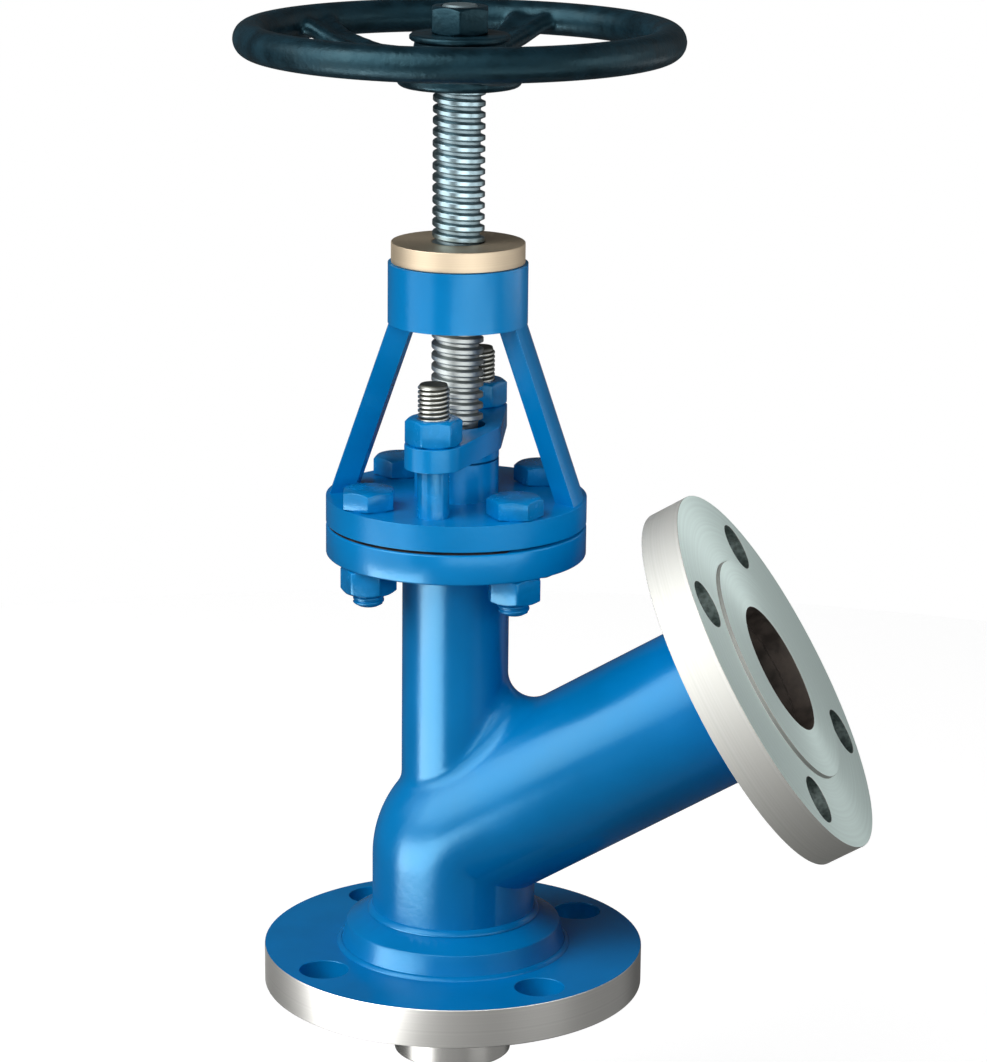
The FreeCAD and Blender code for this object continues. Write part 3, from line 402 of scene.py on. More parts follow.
def cut_thread(name, rgb, root_shade, spot, root, crest, roughness, dull=None):
    """Steel with a cut thread: bright crests, and roots painted darker as shade.

    root and crest are radii about the spot. Below the height dull, a film takes the blue and the shine off.
    """
    material, tree, shader = surface(name, {"Metallic": 1})
    place = add(tree, "TexCoord").outputs["Object"]
    out = add(tree, "VectorMath", {1: spot}, {0: place}, operation="SUBTRACT").outputs["Vector"]
    depth = {"From Min": root, "From Max": crest}
    crest_share = add(tree, "MapRange", depth, {"Value": from_axis(tree, out)}).outputs["Result"]
    # Painted shade: the roots take the darker colour and the crests the bright one
    tones = {COLOUR_A: root_shade, COLOUR_B: shade(rgb, 1)}
    tone = add(tree, "Mix", tones, {FACTOR: crest_share}, data_type="RGBA").outputs[COLOUR_OUT]
    gloss = {"To Min": roughness + 0.22, "To Max": roughness}
    rough = add(tree, "MapRange", gloss, {"Value": crest_share}).outputs["Result"]
    if dull:
        rise = add(tree, "SeparateXYZ", links={"Vector": place}).outputs["Z"]
        film = add(
            tree, "MapRange", {"From Min": dull, "From Max": dull - 6 * MM}, {"Value": rise},
        ).outputs["Result"]
        tone = add(
            tree, "Mix", {COLOUR_B: opaque("8B908F")}, {FACTOR: film, COLOUR_A: tone}, data_type="RGBA",
        ).outputs[COLOUR_OUT]
        rough = add(
            tree, "Mix", {VALUE_B: roughness + 0.16}, {FACTOR: film, VALUE_A: rough}, data_type="FLOAT",
        ).outputs[VALUE_OUT]
    tree.links.new(tone, shader.inputs["Base Color"])
    tree.links.new(rough, shader.inputs["Roughness"])
    grained(tree, shader, place, 0.8 * MM, 0.01 * MM)
    return material


def stem_thread(finish):
    """Stainless stem with its lifting thread, dulled by a greasy film below the yoke's collar; roots painted
    as shade.
    """
    return cut_thread(
        # 76868B is painted shade for the thread's roots
        "Stainless_steel_thread_cut", finish.stem, opaque("76868B"), (0, 0, 0),
        root=8 * MM, crest=9 * MM, roughness=0.28, dull=high("yoke"),
    )


def stud_thread(finish, spot):
    """Plated stud at that spot, dulled."""
    return cut_thread(
        # 3A3A34 is painted shade for the thread's roots
        "Plated_steel_thread_%s" % ("rear" if spot.y > 0 else "front"), finish.stud, opaque("3A3A34"), spot,
        root=5.2 * MM, crest=5.9 * MM, roughness=0.34,
    )


FINISHES = {
    "casting": enamel_on_casting,
    "fastener": enamel_on_fasteners,
    "rim": turned_steel,
    "outlet": faced_steel,
    "facing": sealing_face,
    "drilled": drilled_hole_shade,
    "seat": seat_steel,
    "bronze": turned_bronze,
    "stem": stem_thread,
    "wheel": wheel_lacquer,
    "bore": cast_bore,
    "gasket": gasket_sheet,
    "graphite": braided_graphite,
    "ground": ground_steel,
}
made_finishes = {}


def finishes_of(context, *names):
    """Finishes by their short names, each made once."""
    for name in names:
        if name not in made_finishes:
            made_finishes[name] = FINISHES[name](context.scene.valve_finish)
    return [made_finishes[name] for name in names]


# Shapes


def closed_copy(node):
    """A solid's own shape, with its loose triangles joined into whole faces."""
    bm = bmesh.new()
    bm.from_mesh(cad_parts[node].data)
    bmesh.ops.remove_doubles(bm, verts=bm.verts[:], dist=MERGE)
    bmesh.ops.dissolve_limit(bm, angle_limit=radians(0.3), verts=bm.verts[:], edges=bm.edges[:])
    return bm


def new_parts(bm, before):
    """What a mesh holds apart from the vertices before: vertices, edges and faces."""
    verts = [vert for vert in bm.verts if vert not in before]
    edges = {edge for vert in verts for edge in vert.link_edges}
    faces = {face for vert in verts for face in vert.link_faces}
    return verts, list(edges), list(faces)


def ease(bm, width, segments=3, angle=35, test=None):
    """Round the edges that turn by more than an angle."""
    sharp = [
        edge for edge in bm.edges
        if edge.is_manifold and edge.calc_face_angle() > radians(angle) and (test is None or test(edge))
    ]
    bmesh.ops.bevel(
        bm, geom=sharp, offset=width, offset_type="OFFSET", segments=segments, profile=0.5,
        affect="EDGES", clamp_overlap=True, material=-1,
    )


def spun(bm, profile, closed=True, steps=96):
    """Spin a profile of (radius, height) in metres about the stem axis."""
    before = set(bm.verts)
    points = [bm.verts.new((reach, 0, height)) for reach, height in profile]
    following = points[1:] + points[:1] if closed else points[1:]
    lines = [bm.edges.new(pair) for pair in zip(points, following)]
    bmesh.ops.spin(
        bm, geom=points + lines, cent=(0, 0, 0), axis=(0, 0, 1), dvec=(0, 0, 0), angle=2 * pi,
        space=Matrix.Identity(4), steps=steps, use_merge=True, use_normal_flip=False, use_duplicate=False,
    )
    bmesh.ops.remove_doubles(bm, verts=new_parts(bm, before)[0], dist=MERGE)
    bmesh.ops.recalc_face_normals(bm, faces=new_parts(bm, before)[2])


def drawn(bm, loop, place):
    """Extrude a loop of edges and move its new vertices; returns the new loop."""
    made = bmesh.ops.extrude_edge_only(bm, edges=loop)["geom"]
    fresh = {item for item in made if isinstance(item, bmesh.types.BMVert)}
    for vert in fresh:
        vert.co = place(vert.co)
    return [
        item for item in made
        if isinstance(item, bmesh.types.BMEdge) and set(item.verts) <= fresh
    ]


def to_circle(reach, height):
    """Moves a point out to a circle about the axis, at a height."""
    return lambda co: Vector((co.x, co.y, 0)).normalized() * reach + Vector((0, 0, height))


def to_hexagon(flats, flat_reach, height, rise):
    """Moves a point to a hexagon; corners past flat_reach slope 30 degrees, down for rise 1, up for -1."""

    def place(co):
        turn = degrees(atan2(co.y, co.x)) % 60 - 30
        reach = flats / 2 / cos(radians(turn))
        drop = max(0, reach - flat_reach) * tan(radians(30))
        return Vector((co.x, co.y, 0)).normalized() * reach + Vector((0, 0, height - rise * drop))

    return place


def ring(bm, reach, height, segments=72):
    """A loop of edges on a circle about the axis."""
    verts = bmesh.ops.create_circle(bm, radius=reach, segments=segments)["verts"]
    for vert in verts:
        vert.co.z += height
    return list({edge for vert in verts for edge in vert.link_edges})


def screwed(reach, depth, pitch, bottom, top, steps, left=False):
    """A mesh that holds a screw thread between two heights, and its end loops, lower first."""
    # Shares of the pitch: the crest, each flank, and the softening of the crest's edges
    flat, lean, soft = 0.4, 0.19, 0.04
    root = reach - depth
    crest_start = (1 - flat) / 2
    crest_end = crest_start + flat
    profile = (
        (root, 0),
        (root, crest_start - lean),
        (reach - soft * pitch, crest_start - soft / 2),
        (reach, crest_start + soft),
        (reach, crest_end - soft),
        (reach - soft * pitch, crest_end + soft / 2),
        (root, crest_end + lean),
        (root, 1),
    )
    bm = bmesh.new()
    points = [bm.verts.new((r, 0, bottom + (share - 1) * pitch)) for r, share in profile]
    lines = [bm.edges.new(pair) for pair in zip(points, points[1:])]
    bmesh.ops.spin(
        bm, geom=points + lines, cent=(0, 0, 0), axis=(0, 0, 1), dvec=(0, 0, pitch / steps),
        angle=(-1 if left else 1) * 2 * pi, space=Matrix.Identity(4), steps=steps,
        use_merge=False, use_normal_flip=False, use_duplicate=False,
    )
    # Each copy doubles the turns, until they reach past the top
    wanted = ceil((top - bottom) / pitch) + 1
    turns = 1
    while turns < wanted:
        copy = bmesh.ops.duplicate(bm, geom=bm.verts[:] + bm.edges[:] + bm.faces[:])["geom"]
        fresh = [item for item in copy if isinstance(item, bmesh.types.BMVert)]
        bmesh.ops.translate(bm, verts=fresh, vec=(0, 0, turns * pitch))
        turns *= 2
    bmesh.ops.remove_doubles(bm, verts=bm.verts[:], dist=MERGE)
    for height, outwards in ((bottom, -1), (top, 1)):
        bmesh.ops.bisect_plane(
            bm, geom=bm.verts[:] + bm.edges[:] + bm.faces[:], dist=0.0001 * MM,
            plane_co=(0, 0, height), plane_no=(0, 0, outwards), clear_outer=True, clear_inner=False,
        )
    lower, upper = (
        [
            edge for edge in bm.edges
            if edge.is_boundary and all(abs(vert.co.z - height) < 0.01 * MM for vert in edge.verts)
        ]
        for height in (bottom, top)
    )
    return bm, lower, upper


def stopped(bm, loop, *stations):
    """Draw a loop through circles of (radius, height) and close it with a face."""
    for reach, height in stations:
        loop = drawn(bm, loop, to_circle(reach, height))
    bmesh.ops.edgeloop_fill(bm, edges=loop)


def hexagon_piece(bm, flats, bottom, top, bore, washer_face=0.0):
    """A hexagon turned down to a cone at its ends; a bore of 0 makes it solid."""
    before = set(bm.verts)
    # Each end's flat circle stays a little inside the flats, and a solid end starts as a small disc
    crown = flats / 2 * 0.965
    inner = bore or crown * 0.3
    start = ring(bm, inner, top)
    loop = drawn(bm, start, to_circle(crown, top))
    loop = drawn(bm, loop, to_hexagon(flats, crown, top, 1))
    if washer_face:
        loop = drawn(bm, loop, to_hexagon(flats, crown, bottom + washer_face, 0))
        loop = drawn(bm, loop, to_circle(crown, bottom + washer_face))
        loop = drawn(bm, loop, to_circle(crown, bottom))
    else:
        loop = drawn(bm, loop, to_hexagon(flats, crown, bottom, -1))
        loop = drawn(bm, loop, to_circle(crown, bottom))
    loop = drawn(bm, loop, to_circle(inner, bottom))
    if bore:
        bmesh.ops.bridge_loops(bm, edges=loop + start)
    else:
        bmesh.ops.edgeloop_fill(bm, edges=start)
        bmesh.ops.edgeloop_fill(bm, edges=loop)
    verts, _, faces = new_parts(bm, before)
    bmesh.ops.recalc_face_normals(bm, faces=faces)
    fresh = set(verts)
    ease(bm, 0.35 * MM, segments=2, test=lambda edge: edge.verts[0] in fresh)


def between(keys, share):
    """Reads a row of (share, value) keys, in straight lines from each to the next."""
    for (start, first), (end, last) in zip(keys, keys[1:]):
        if share <= end:
            return first + (last - first) * (share - start) / (end - start)
    return keys[-1][1]


def squarer(value):
    """Moves one coordinate of a unit circle's point out towards a square."""
    return copysign(abs(value) ** 0.75, value)


def spoke_point(co, foot):
    """Carries a point of an upright unit tube to the first spoke: wide at its ends, ribbed at its edges."""
    share = co.z / SPOKE_STEPS
    across, up = squarer(co.x), squarer(co.y)
    if co.y > 0:
        # The top is hollowed between the ribs
        up -= 0.5 * max(0, 1 - (across / 0.62) ** 2)
    reach = SPOKE_FROM + (SPOKE_TO - SPOKE_FROM) * share
    aside = SPOKE_BOW * sin(pi * share) + across * between(SPOKE_WIDTH, share) / 2
    rise = between(SPOKE_RISE, share) + up * between(SPOKE_DEPTH, share) / 2
    return Vector((reach, aside, rise)) * MM + Vector((0, 0, foot))


def add_spokes(bm, foot):
    """Draw a unit tube, bend it to the first spoke and repeat it round the hub."""
    before = set(bm.verts)
    loop = start = ring(bm, 1, 0, segments=28)
    for step in range(SPOKE_STEPS):
        loop = drawn(bm, loop, lambda co: co + Vector((0, 0, 1)))
    bmesh.ops.edgeloop_fill(bm, edges=start)
    bmesh.ops.edgeloop_fill(bm, edges=loop)
    verts, edges, faces = new_parts(bm, before)
    for vert in verts:
        vert.co = spoke_point(vert.co, foot)
    bmesh.ops.recalc_face_normals(bm, faces=faces)
    bmesh.ops.rotate(bm, verts=verts, cent=(0, 0, 0), matrix=Matrix.Rotation(radians(SPOKE_TURN), 3, "Z"))
    bmesh.ops.spin(
        bm, geom=verts + edges + faces, cent=(0, 0, 0), axis=(0, 0, 1), dvec=(0, 0, 0),
        angle=2 * pi * (SPOKES - 1) / SPOKES, space=Matrix.Identity(4), steps=SPOKES - 1,
        use_merge=False, use_normal_flip=False, use_duplicate=True,
    )


def moved(bm, spot, turn):
    """Turn a mesh about the stem axis, by degrees, then move it to its own axis."""
    bmesh.ops.rotate(bm, verts=bm.verts[:], cent=(0, 0, 0), matrix=Matrix.Rotation(radians(turn), 3, "Z"))
    bmesh.ops.translate(bm, verts=bm.verts[:], vec=spot)


def placed(context, name, bm, body, nodes, finishes, choose=None, sharp=None):
    """Hand over a piece: its mesh, its finishes, its body and the solids that it stands for.

    choose gives a face the number of its finish, and edges sharper than sharp stay so.
    """
    loose = [edge for edge in bm.edges if not edge.is_manifold]
    if loose:
        raise RuntimeError("%s is open at %d edges" % (name, len(loose)))
    mesh = bpy.data.meshes.new(name)
    for face in bm.faces:
        face.smooth = True
        face.material_index = choose(face) if choose else 0
    if sharp:
        for edge in bm.edges:
            edge.smooth = edge.calc_face_angle() < radians(sharp)
    bm.to_mesh(mesh)
    bm.free()
    for finish in finishes:
        mesh.materials.append(finish)
    piece = bpy.data.objects.new(name, mesh)
    context.scene.collection.objects.link(piece)
    if not sharp:
        normals = piece.modifiers.new("Even shading", "WEIGHTED_NORMAL")
        normals.weight = 80
        normals.keep_sharp = True
    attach(piece, body)
    if nodes:
        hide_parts(*nodes)
    return piece


def dress(context, name, *nodes):
    """Give solids that are shown as they are their finish."""
    finish = finishes_of(context, name)[0]
    for node in nodes:
        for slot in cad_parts[node].material_slots:
            slot.link = "OBJECT"
            slot.material = finish


# Pieces


class VALVE_OT_flanges(bpy.types.Operator):
    """Tank flange and outlet flange: enamel on the body's side, bare turned steel on rim and face"""

    bl_idname = "valve.flanges"
    bl_label = "Flanges"

    def execute(self, context):
        detail = context.scene.valve_detail
        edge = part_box("tank_flange")[1].x

        def tank_finish(face):
            spot = face.calc_center_median()
            reach = hypot(spot.x, spot.y)
            if reach < TANK_BORE and abs(face.normal.z) < 0.5:
                return 2
            if face.normal.z < -0.5 or (reach > edge - RIM_BAND and abs(face.normal.z) < 0.75):
                return 1
            return 0

        bm = closed_copy("tank_flange")
        ease(bm, detail.machined_edge * 0.8, angle=30)
        finishes = finishes_of(context, "casting", "rim", "bore")
        placed(
            context, "Tank_flange", bm, "valve", ["tank_flange"], finishes, tank_finish,
        )

        def in_hole(side):
            up, out = abs(side.dot(UPHILL)) - HOLE_PLACE, abs(side.y) - HOLE_PLACE
            return hypot(up, out) < HOLE_REACH * 1.02

        def outlet_finish(face):
            spot = face.calc_center_median() - JOINT
            side = spot - spot.dot(ALONG) * ALONG
            facing = face.normal.dot(ALONG)
            if abs(facing) < 0.5 and in_hole(side):
                return 4
            if abs(facing) < 0.5 and side.length < OUTLET_BORE:
                return 2
            if facing < -0.8:
                return 1
            return 3 if facing > 0.8 else 0

        bm = closed_copy("outlet_flange")
        ease(bm, detail.machined_edge * 0.5, angle=30)
        finishes = finishes_of(context, "outlet", "casting", "bore", "facing", "drilled")
        placed(
            context, "Outlet_flange", bm, "valve", ["outlet_flange"], finishes, outlet_finish,
        )
        return {"FINISHED"}


class VALVE_OT_body(bpy.types.Operator):
    """Welded body: tube, branch and neck, ground where they meet and enamelled as one"""

    bl_idname = "valve.body"
    bl_label = "Body and outlet pipe"

    def execute(self, context):
        detail = context.scene.valve_detail

        def body_finish(face):
            spot = face.calc_center_median()
            reach = hypot(spot.x, spot.y)
            out = spot - JOINT
            along = out.dot(ALONG)
            in_tube = out.length < TUBE_BORE or (out.z < 0 and reach < TUBE_BORE)
            in_branch = along > 0 and (out - along * ALONG).length < TUBE_BORE
            in_neck = out.z > 0 and reach < NECK_BORE
            return 1 if in_tube or in_branch or in_neck else 0

        def on_bonnet_flange(edge):
            return min(vert.co.z for vert in edge.verts) > BONNET_EDGES

        finishes = finishes_of(context, "casting", "bore")
        for name, node in (("Valve_body", "valve_body"), ("Outlet_pipe", "outlet_pipe")):
            bm = closed_copy(node)
            if node == "valve_body":
                ease(bm, detail.edge * 0.8, angle=40, test=on_bonnet_flange)
            placed(context, name, bm, "valve", [node], finishes, body_finish, sharp=38)
        bm = bmesh.new()
        for reach, height, leg in BEADS:
            inner, foot = reach - BEAD_SUNK, height - BEAD_SUNK
            face = [(reach + leg * out, height + leg * up) for out, up in BEAD_FACE]
            spun(bm, [(inner, foot), (reach + leg, foot)] + face + [(inner, height + leg)])
        finishes = finishes_of(context, "casting")
        placed(context, "Foot_welds", bm, "valve", [], finishes, sharp=50)
        return {"FINISHED"}


class VALVE_OT_yoke(bpy.types.Operator):
    """Yoke with its two arms, and the gland flange, with cast edges"""

    bl_idname = "valve.yoke"
    bl_label = "Yoke and gland flange"

    def execute(self, context):
        detail = context.scene.valve_detail
        finishes = finishes_of(context, "casting")
        for name, node, width in (("Yoke", "yoke", 0.8), ("Gland_flange", "gland_flange", 1.2)):
            bm = closed_copy(node)
            ease(bm, detail.edge * width)
            placed(context, name, bm, "valve", [node], finishes)
        dress(context, "casting", "gland_follower")
        return {"FINISHED"}


class VALVE_OT_fasteners(bpy.types.Operator):
    """Bolts and nuts of bonnet and gland: hexagons turned down to a cone, threads at the bolts' ends"""

    bl_idname = "valve.fasteners"
    bl_label = "Bolts and nuts"

    def execute(self, context):
        detail = context.scene.valve_detail
        finishes = finishes_of(context, "fastener")
        seat = low("bonnet_bolt_1") + BOLT_LENGTH
        nut_middle = (low("bonnet_nut_1") + high("bonnet_nut_1")) / 2
        shank = ((0, nut_middle), (BOLT_REACH, nut_middle), (BOLT_REACH, seat), (0, seat))
        # Enamel fills part of the thread
        depth = detail.stud_depth * 0.6

        def hand_over(bm, node, turn):
            moved(bm, centre(node), turn)
            name = node.capitalize()
            placed(context, name, bm, "valve", [node], finishes, sharp=50)

        for number, turn in enumerate(HEAD_TURNS, 1):
            node = "bonnet_bolt_%d" % number
            # The threaded end stops a little above the solid's
            end = low(node) + 1.6 * MM
            bm, lower, upper = screwed(
                BOLT_REACH, depth, detail.stud_pitch, end + 1.5 * MM, nut_middle, THREAD_STEPS,
            )
            stopped(bm, lower, (BOLT_REACH - depth, end + 0.9 * MM), (BOLT_REACH - 2.2 * MM, end))
            stopped(bm, upper)
            bmesh.ops.recalc_face_normals(bm, faces=bm.faces[:])
            spun(bm, shank, closed=False, steps=48)
            hexagon_piece(bm, BOLT_FLATS, seat, high(node), 0, washer_face=0.5 * MM)
            hand_over(bm, node, turn)
        for group, turns in (("bonnet_nut_%d", NUT_TURNS), ("gland_nut_%d", GLAND_NUT_TURNS)):
            for number, turn in enumerate(turns, 1):
                node = group % number
                bm = bmesh.new()
                hexagon_piece(bm, BOLT_FLATS, low(node), high(node), BOLT_REACH + 0.03 * MM)
                hand_over(bm, node, turn)
        return {"FINISHED"}


class VALVE_OT_studs(bpy.types.Operator):
    """Gland studs: threaded over the gland, enamelled below it"""

    bl_idname = "valve.studs"
    bl_label = "Gland studs"

    def execute(self, context):
        detail = context.scene.valve_detail
        start, eased = low("gland_flange") + 1 * MM, 1 * MM

        def stud_finish(face):
            return 1 if face.calc_center_median().z < start else 0

        for node in ("gland_stud_1", "gland_stud_2"):
            spot, foot, top = centre(node), low(node), high(node)
            bm, lower, upper = screwed(
                BOLT_REACH, detail.stud_depth, detail.stud_pitch, start, top - 1.1 * MM, THREAD_STEPS,
            )
            stopped(bm, upper, (BOLT_REACH - detail.stud_depth, top))
            stopped(
                bm, lower, (BOLT_REACH, start - eased), (BOLT_REACH, foot + eased),
                (BOLT_REACH - eased, foot),
            )
            bmesh.ops.recalc_face_normals(bm, faces=bm.faces[:])
            moved(bm, spot, 0)
            name = node.capitalize()
            finishes = [stud_thread(context.scene.valve_finish, spot)] + finishes_of(context, "fastener")
            placed(context, name, bm, "valve", [node], finishes, stud_finish, sharp=40)
        return {"FINISHED"}


class VALVE_OT_stem(bpy.types.Operator):
    """Rising stem with its left-hand lifting thread"""

    bl_idname = "valve.stem"
    bl_label = "Stem"

    def execute(self, context):
        detail = context.scene.valve_detail
        start, eased = high("gland_flange") + 1 * MM, 1 * MM
        seat, shoulder, top = low("handwheel"), high("handwheel_washer") - 3 * MM, high("stem")
        ring_low, ring_high, foot = low("split_ring_left"), high("split_ring_left"), low("stem")
        bm, lower, upper = screwed(
            STEM_REACH, detail.stem_depth, detail.stem_pitch, start, seat - 0.6 * MM, STEM_STEPS, left=True,
        )
        stopped(
            bm, upper, (STEM_PLAIN, seat), (STEM_PLAIN, shoulder), (STEM_END, shoulder),
            (STEM_END, top - eased), (STEM_END - eased, top),
        )
        stopped(
            bm, lower, (STEM_PLAIN, start - eased), (STEM_PLAIN, ring_high), (STEM_GROOVE, ring_high),
            (STEM_GROOVE, ring_low), (STEM_PLAIN, ring_low), (STEM_PLAIN, foot + eased),
            (STEM_PLAIN - eased, foot),
        )
        bmesh.ops.recalc_face_normals(bm, faces=bm.faces[:])
        finishes = finishes_of(context, "stem")
        placed(context, "Stem", bm, "spindle", ["stem"], finishes, sharp=28)
        return {"FINISHED"}


class VALVE_OT_turned(bpy.types.Operator):
    """Turned pieces: yoke bush, disc and seat ring"""

    bl_idname = "valve.turned"
    bl_label = "Bush, disc and seat"

    def execute(self, context):
        detail = context.scene.valve_detail
        for name, node, body, slot, finish, width in (
            ("Yoke_bush", "yoke_bush", "valve", "bronze", "bronze", 0.9),
            ("Disc", "disc", "plug", "disc_steel", "seat", 1.0),
            ("Sealing_ring", "seat_ring", "valve", "seat_steel", "seat", 0.8),
        ):
            bm = closed_copy(node)
            ease(bm, detail.machined_edge * width)
            placed(context, name, bm, body, [node], finishes_of(context, finish))
        return {"FINISHED"}


class VALVE_OT_handwheel(bpy.types.Operator):
    """Cast handwheel with five bowed spokes, its washer and its nut"""

    bl_idname = "valve.handwheel"
    bl_label = "Handwheel"

    def execute(self, context):
        finishes = finishes_of(context, "wheel")
        foot, seat, top = low("handwheel"), low("handwheel_washer"), high("handwheel_washer")
        bm = bmesh.new()
        flare = [(reach * MM, foot + height * MM) for reach, height in HUB_FLARE]
        spun(bm, [(HUB_BORE, foot)] + flare + [(HUB_TOP, seat), (HUB_BORE, seat)])
        thick = RIM_THICKNESS / 2
        height, reach = high("handwheel") - thick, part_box("handwheel")[1].x - thick
        turns = [radians(turn) for turn in range(0, 360, 20)]
        spun(bm, [(reach + thick * cos(turn), height + thick * sin(turn)) for turn in turns], steps=240)
        add_spokes(bm, foot)
        wheel = placed(context, "Handwheel", bm, "spindle", ["handwheel"], finishes)
        # Hub, spokes and rim become one skin, whose corners are then smoothed
        wheel.modifiers.clear()
        cast = wheel.modifiers.new("One casting", "REMESH")
        cast.mode = "VOXEL"
        cast.voxel_size = 0.85 * MM
        cast.use_smooth_shade = True
        eased = wheel.modifiers.new("Cast fillets", "SMOOTH")
        eased.factor = 0.5
        eased.iterations = 7
        bore, edge = 7.4 * MM, 19 * MM
        bm = bmesh.new()
        spun(bm, (
            (bore, seat), (edge - 0.6 * MM, seat), (edge, seat + 0.6 * MM),
            (edge, top - 0.7 * MM), (edge - 0.7 * MM, top), (bore, top),
        ))
        placed(context, "Handwheel_washer", bm, "spindle", ["handwheel_washer"], finishes)
        node = "handwheel_nut"
        bm = bmesh.new()
        hexagon_piece(bm, 21 * MM, low(node), high(node), STEM_END + 0.03 * MM)
        moved(bm, Vector(), WHEEL_NUT_TURN)
        placed(context, "Handwheel_nut", bm, "spindle", [node], finishes, sharp=50)
        return {"FINISHED"}


class VALVE_OT_inner(bpy.types.Operator):
    """Inner pieces: gaskets, packing, guide bush, split ring, pin and key"""

    bl_idname = "valve.inner"
    bl_label = "Inner pieces"

    def execute(self, context):
        dress(context, "gasket", "seat_gasket", "bonnet_gasket")
        dress(context, "graphite", *("packing_ring_%d" % number for number in range(1, 5)))
        dress(context, "bronze", "packing_base_ring", "stem_guide_bush")
        dress(context, "seat", "disc_nut")
        dress(context, "ground", "split_ring_left", "split_ring_right", "bush_pin", "handwheel_key")
        return {"FINISHED"}


# Stage


def add_camera(scene, stage):
    """The camera, where it sees the valve as the photograph does."""
    back = Vector((cos(VIEW_PITCH) * sin(VIEW_TURN), -cos(VIEW_PITCH) * cos(VIEW_TURN), sin(VIEW_PITCH)))
    side = Vector((cos(VIEW_TURN), sin(VIEW_TURN), 0))
    up = back.cross(side)
    side, up = side * cos(VIEW_ROLL) + up * sin(VIEW_ROLL), up * cos(VIEW_ROLL) - side * sin(VIEW_ROLL)
    axes = Matrix((side, up, back)).transposed().to_4x4()
    camera = bpy.data.objects.new("Camera", bpy.data.cameras.new("Camera"))
    camera.data.lens = stage.lens
    camera.data.sensor_width = 36
    camera.data.clip_start, camera.data.clip_end = 0.05, 50
    camera.matrix_world = Matrix.Translation(VIEW_TARGET + back * stage.distance) @ axes
    scene.collection.objects.link(camera)
    scene.camera = camera


def add_lamp(scene, name, place, target, size, power, spread=180):
    """A rectangular lamp that faces a point."""
    lamp = bpy.data.objects.new(name, bpy.data.lights.new(name, "AREA"))
    lamp.data.shape = "RECTANGLE"
    lamp.data.size, lamp.data.size_y = size
    lamp.data.energy = power
    lamp.data.spread = radians(spread)
    lamp.location = place
    lamp.rotation_euler = (Vector(place) - Vector(target)).to_track_quat("Z", "Y").to_euler()
    scene.collection.objects.link(lamp)
    return lamp


def add_panel(tree, aside, above, left, right, lower, upper, soft, strength):
    """A soft-edged white panel's light, by the direction that a ray leaves in."""
    panel = None
    for angle, start, end in ((aside, left, right), (above, lower, upper)):
        for edge, way in ((start, 1), (end, -1)):
            reach = {"From Min": radians(edge - soft * way), "From Max": radians(edge + soft * way)}
            fade = add(tree, "MapRange", reach, {"Value": angle}, interpolation_type="SMOOTHSTEP")
            fade = fade.outputs["Result"]
            if panel:
                fade = add(tree, "Math", links={0: panel, 1: fade}, operation="MULTIPLY").outputs["Value"]
            panel = fade
    return add(tree, "Math", {1: strength}, {0: panel}, operation="MULTIPLY").outputs["Value"]


def add_world(scene, stage):
    """White to the camera, dim to matt surfaces, and panels in a dim room to metal and gloss."""
    scene.world = bpy.data.worlds.new("Studio")
    scene.world.use_nodes = True
    tree = scene.world.node_tree
    background = tree.nodes["Background"]
    background.inputs["Color"].default_value = (1, 1, 1, 1)
    rays = add(tree, "LightPath").outputs
    way = add(tree, "TexCoord").outputs["Generated"]
    turn = {"Angle": radians(90) - VIEW_TURN}
    turned = add(tree, "VectorRotate", turn, {"Vector": way}, rotation_type="Z_AXIS").outputs["Vector"]
    parts = add(tree, "SeparateXYZ", links={"Vector": turned}).outputs
    aside = add(tree, "Math", links={0: parts["Y"], 1: parts["X"]}, operation="ARCTAN2").outputs["Value"]
    above = add(tree, "Math", links={0: parts["Z"]}, operation="ARCSINE").outputs["Value"]
    total = None
    for panel in PANELS:
        light = add_panel(tree, aside, above, *panel)
        if total:
            light = add(tree, "Math", links={0: total, 1: light}, operation="ADD").outputs["Value"]
        total = light
    mirrored = add(tree, "Math", {1: stage.mirrored}, {0: total}, operation="ADD").outputs["Value"]
    glossy = {FACTOR: rays["Is Glossy Ray"], VALUE_B: mirrored}
    lit = add(tree, "Mix", {VALUE_A: stage.world}, glossy, data_type="FLOAT").outputs[VALUE_OUT]
    through = {0: rays["Is Camera Ray"], 1: rays["Is Transmission Ray"]}
    seen = add(tree, "Math", links=through, operation="MAXIMUM").outputs["Value"]
    strength = add(tree, "Mix", {VALUE_B: 1}, {FACTOR: seen, VALUE_A: lit}, data_type="FLOAT")
    tree.links.new(strength.outputs[VALUE_OUT], background.inputs["Strength"])
    scene.world.cycles.sampling_method = "NONE"


def add_floor(scene, stage):
    """A round of pale paper that takes a soft shadow, and that metal and gloss don't mirror."""
    bm = bmesh.new()
    bmesh.ops.create_circle(bm, cap_ends=True, radius=0.9, segments=96)
    bmesh.ops.translate(bm, verts=bm.verts[:], vec=(0, 0, low("disc") - stage.floor_drop))
    mesh = bpy.data.meshes.new("Floor")
    bm.to_mesh(mesh)
    bm.free()
    floor = bpy.data.objects.new("Floor", mesh)
    scene.collection.objects.link(floor)
    material, tree, shader = surface("Studio_paper", {
        "Base Color": (0.3, 0.3, 0.3, 1), "Roughness": 0.9, "Specular IOR Level": 0.1,
        "Emission Color": (1, 1, 1, 1),
    })
    # To the camera, the paper glows nearly white
    seen = add(tree, "LightPath").outputs["Is Camera Ray"]
    glow = add(tree, "Math", {1: 0.88}, {0: seen}, operation="MULTIPLY")
    tree.links.new(glow.outputs["Value"], shader.inputs["Emission Strength"])
    mesh.materials.append(material)
    floor.visible_glossy = False


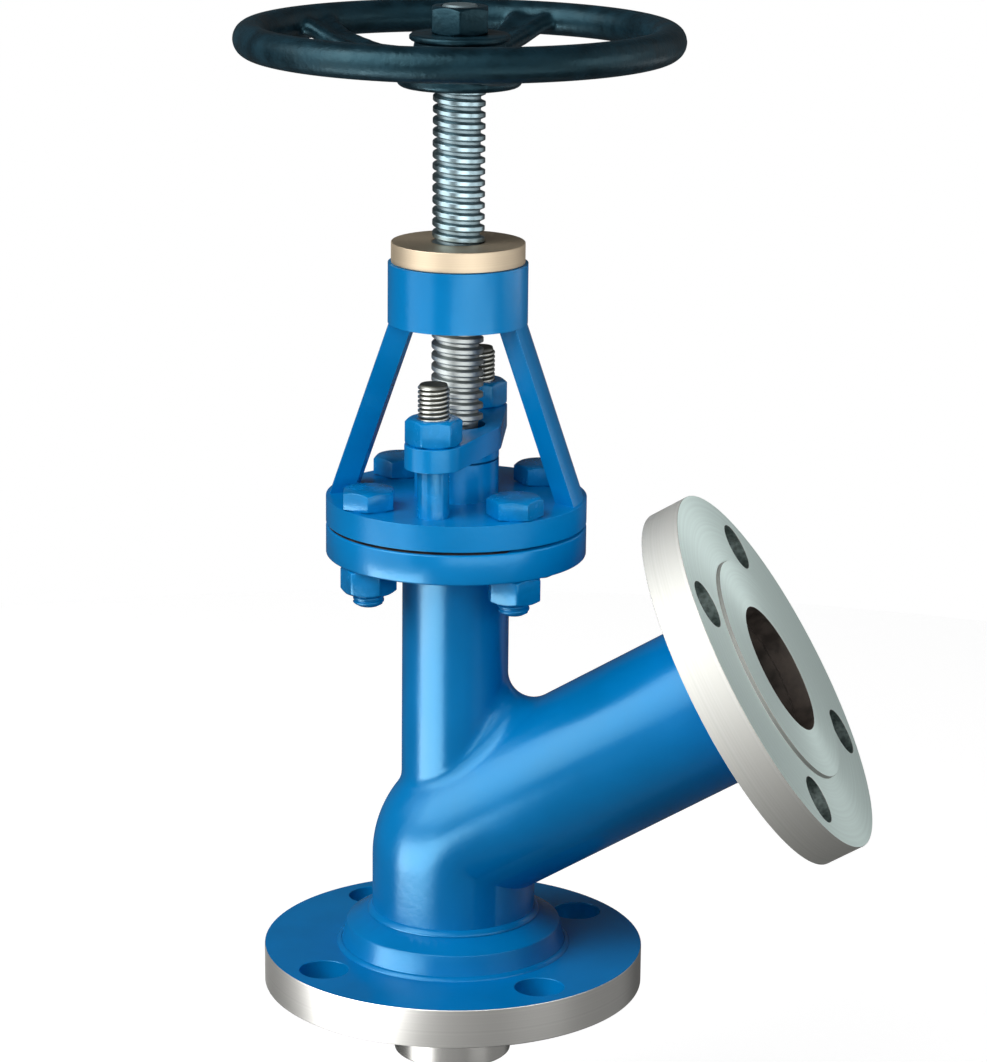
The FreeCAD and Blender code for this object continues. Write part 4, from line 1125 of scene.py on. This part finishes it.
class VALVE_OT_stage(bpy.types.Operator):
    """Pale floor, soft lamps and the camera"""

    bl_idname = "valve.stage"
    bl_label = "Stage"

    def execute(self, context):
        scene = context.scene
        stage = scene.valve_stage
        scene.view_settings.view_transform = "Standard"
        add_camera(scene, stage)
        add_lamp(scene, "Key", (-0.7, -1.0, 1.1), (0.02, 0, 0.18), (1.5, 1.6), stage.key)
        add_lamp(scene, "Fill", (0.51, -0.05, 0.37), (0.1, 0, 0.11), (0.3, 0.3), stage.fill)
        add_lamp(scene, "Yoke lamp", (0.16, -0.27, 0.27), (-0.01, 0, 0.25), (0.4, 0.1), stage.strip, 70)
        # Each of these only glints on gloss and metal, on the walls that mirror its height
        for name, place, size, power in (
            ("Neck lamp", (-0.235, -0.259, -0.006), (0.357, 0.138), stage.neck),
            ("Collar lamp", (0.205, -0.284, 0.17), (0.49, 0.05), stage.collar),
            ("Stem lamp", (0.33, 0.12, 0.24), (0.3, 0.06), stage.stem),
        ):
            add_lamp(scene, name, place, (0, 0, place[2]), size, power).visible_diffuse = False
        add_world(scene, stage)
        add_floor(scene, stage)
        return {"FINISHED"}


OPERATORS = (
    VALVE_OT_flanges,
    VALVE_OT_body,
    VALVE_OT_yoke,
    VALVE_OT_fasteners,
    VALVE_OT_studs,
    VALVE_OT_stem,
    VALVE_OT_turned,
    VALVE_OT_handwheel,
    VALVE_OT_inner,
    VALVE_OT_stage,
)
GROUPS = {"valve_finish": ValveFinish, "valve_detail": ValveDetail, "valve_stage": ValveStage}


class VALVE_PT_pieces(bpy.types.Panel):
    """Lists the pieces with their colours and sizes"""

    bl_idname = "VALVE_PT_pieces"
    bl_label = "Flush bottom valve"
    bl_space_type = "VIEW_3D"
    bl_region_type = "UI"
    bl_category = "Valve"

    def draw(self, context):
        for group in GROUPS:
            settings = getattr(context.scene, group)
            column = self.layout.column(align=True)
            for name in settings.__annotations__:
                column.prop(settings, name)
        column = self.layout.column(align=True)
        for operator in OPERATORS:
            column.operator(operator.bl_idname)


def register():
    """Make the settings, the operators and the panel known to Blender."""
    for group in GROUPS.values():
        bpy.utils.register_class(group)
    for name, group in GROUPS.items():
        setattr(bpy.types.Scene, name, bpy.props.PointerProperty(type=group))
    for item in OPERATORS + (VALVE_PT_pieces,):
        bpy.utils.register_class(item)


def unregister():
    """Take the panel, the operators and the settings away again."""
    for item in OPERATORS + (VALVE_PT_pieces,):
        bpy.utils.unregister_class(item)
    for name, group in GROUPS.items():
        delattr(bpy.types.Scene, name)
        bpy.utils.unregister_class(group)


def main():
    """Make every piece and the stage through the operators."""
    register()
    bpy.ops.valve.flanges()
    bpy.ops.valve.body()
    bpy.ops.valve.yoke()
    bpy.ops.valve.fasteners()
    bpy.ops.valve.studs()
    bpy.ops.valve.stem()
    bpy.ops.valve.turned()
    bpy.ops.valve.handwheel()
    bpy.ops.valve.inner()
    bpy.ops.valve.stage()


if __name__ == "__main__":
    main()
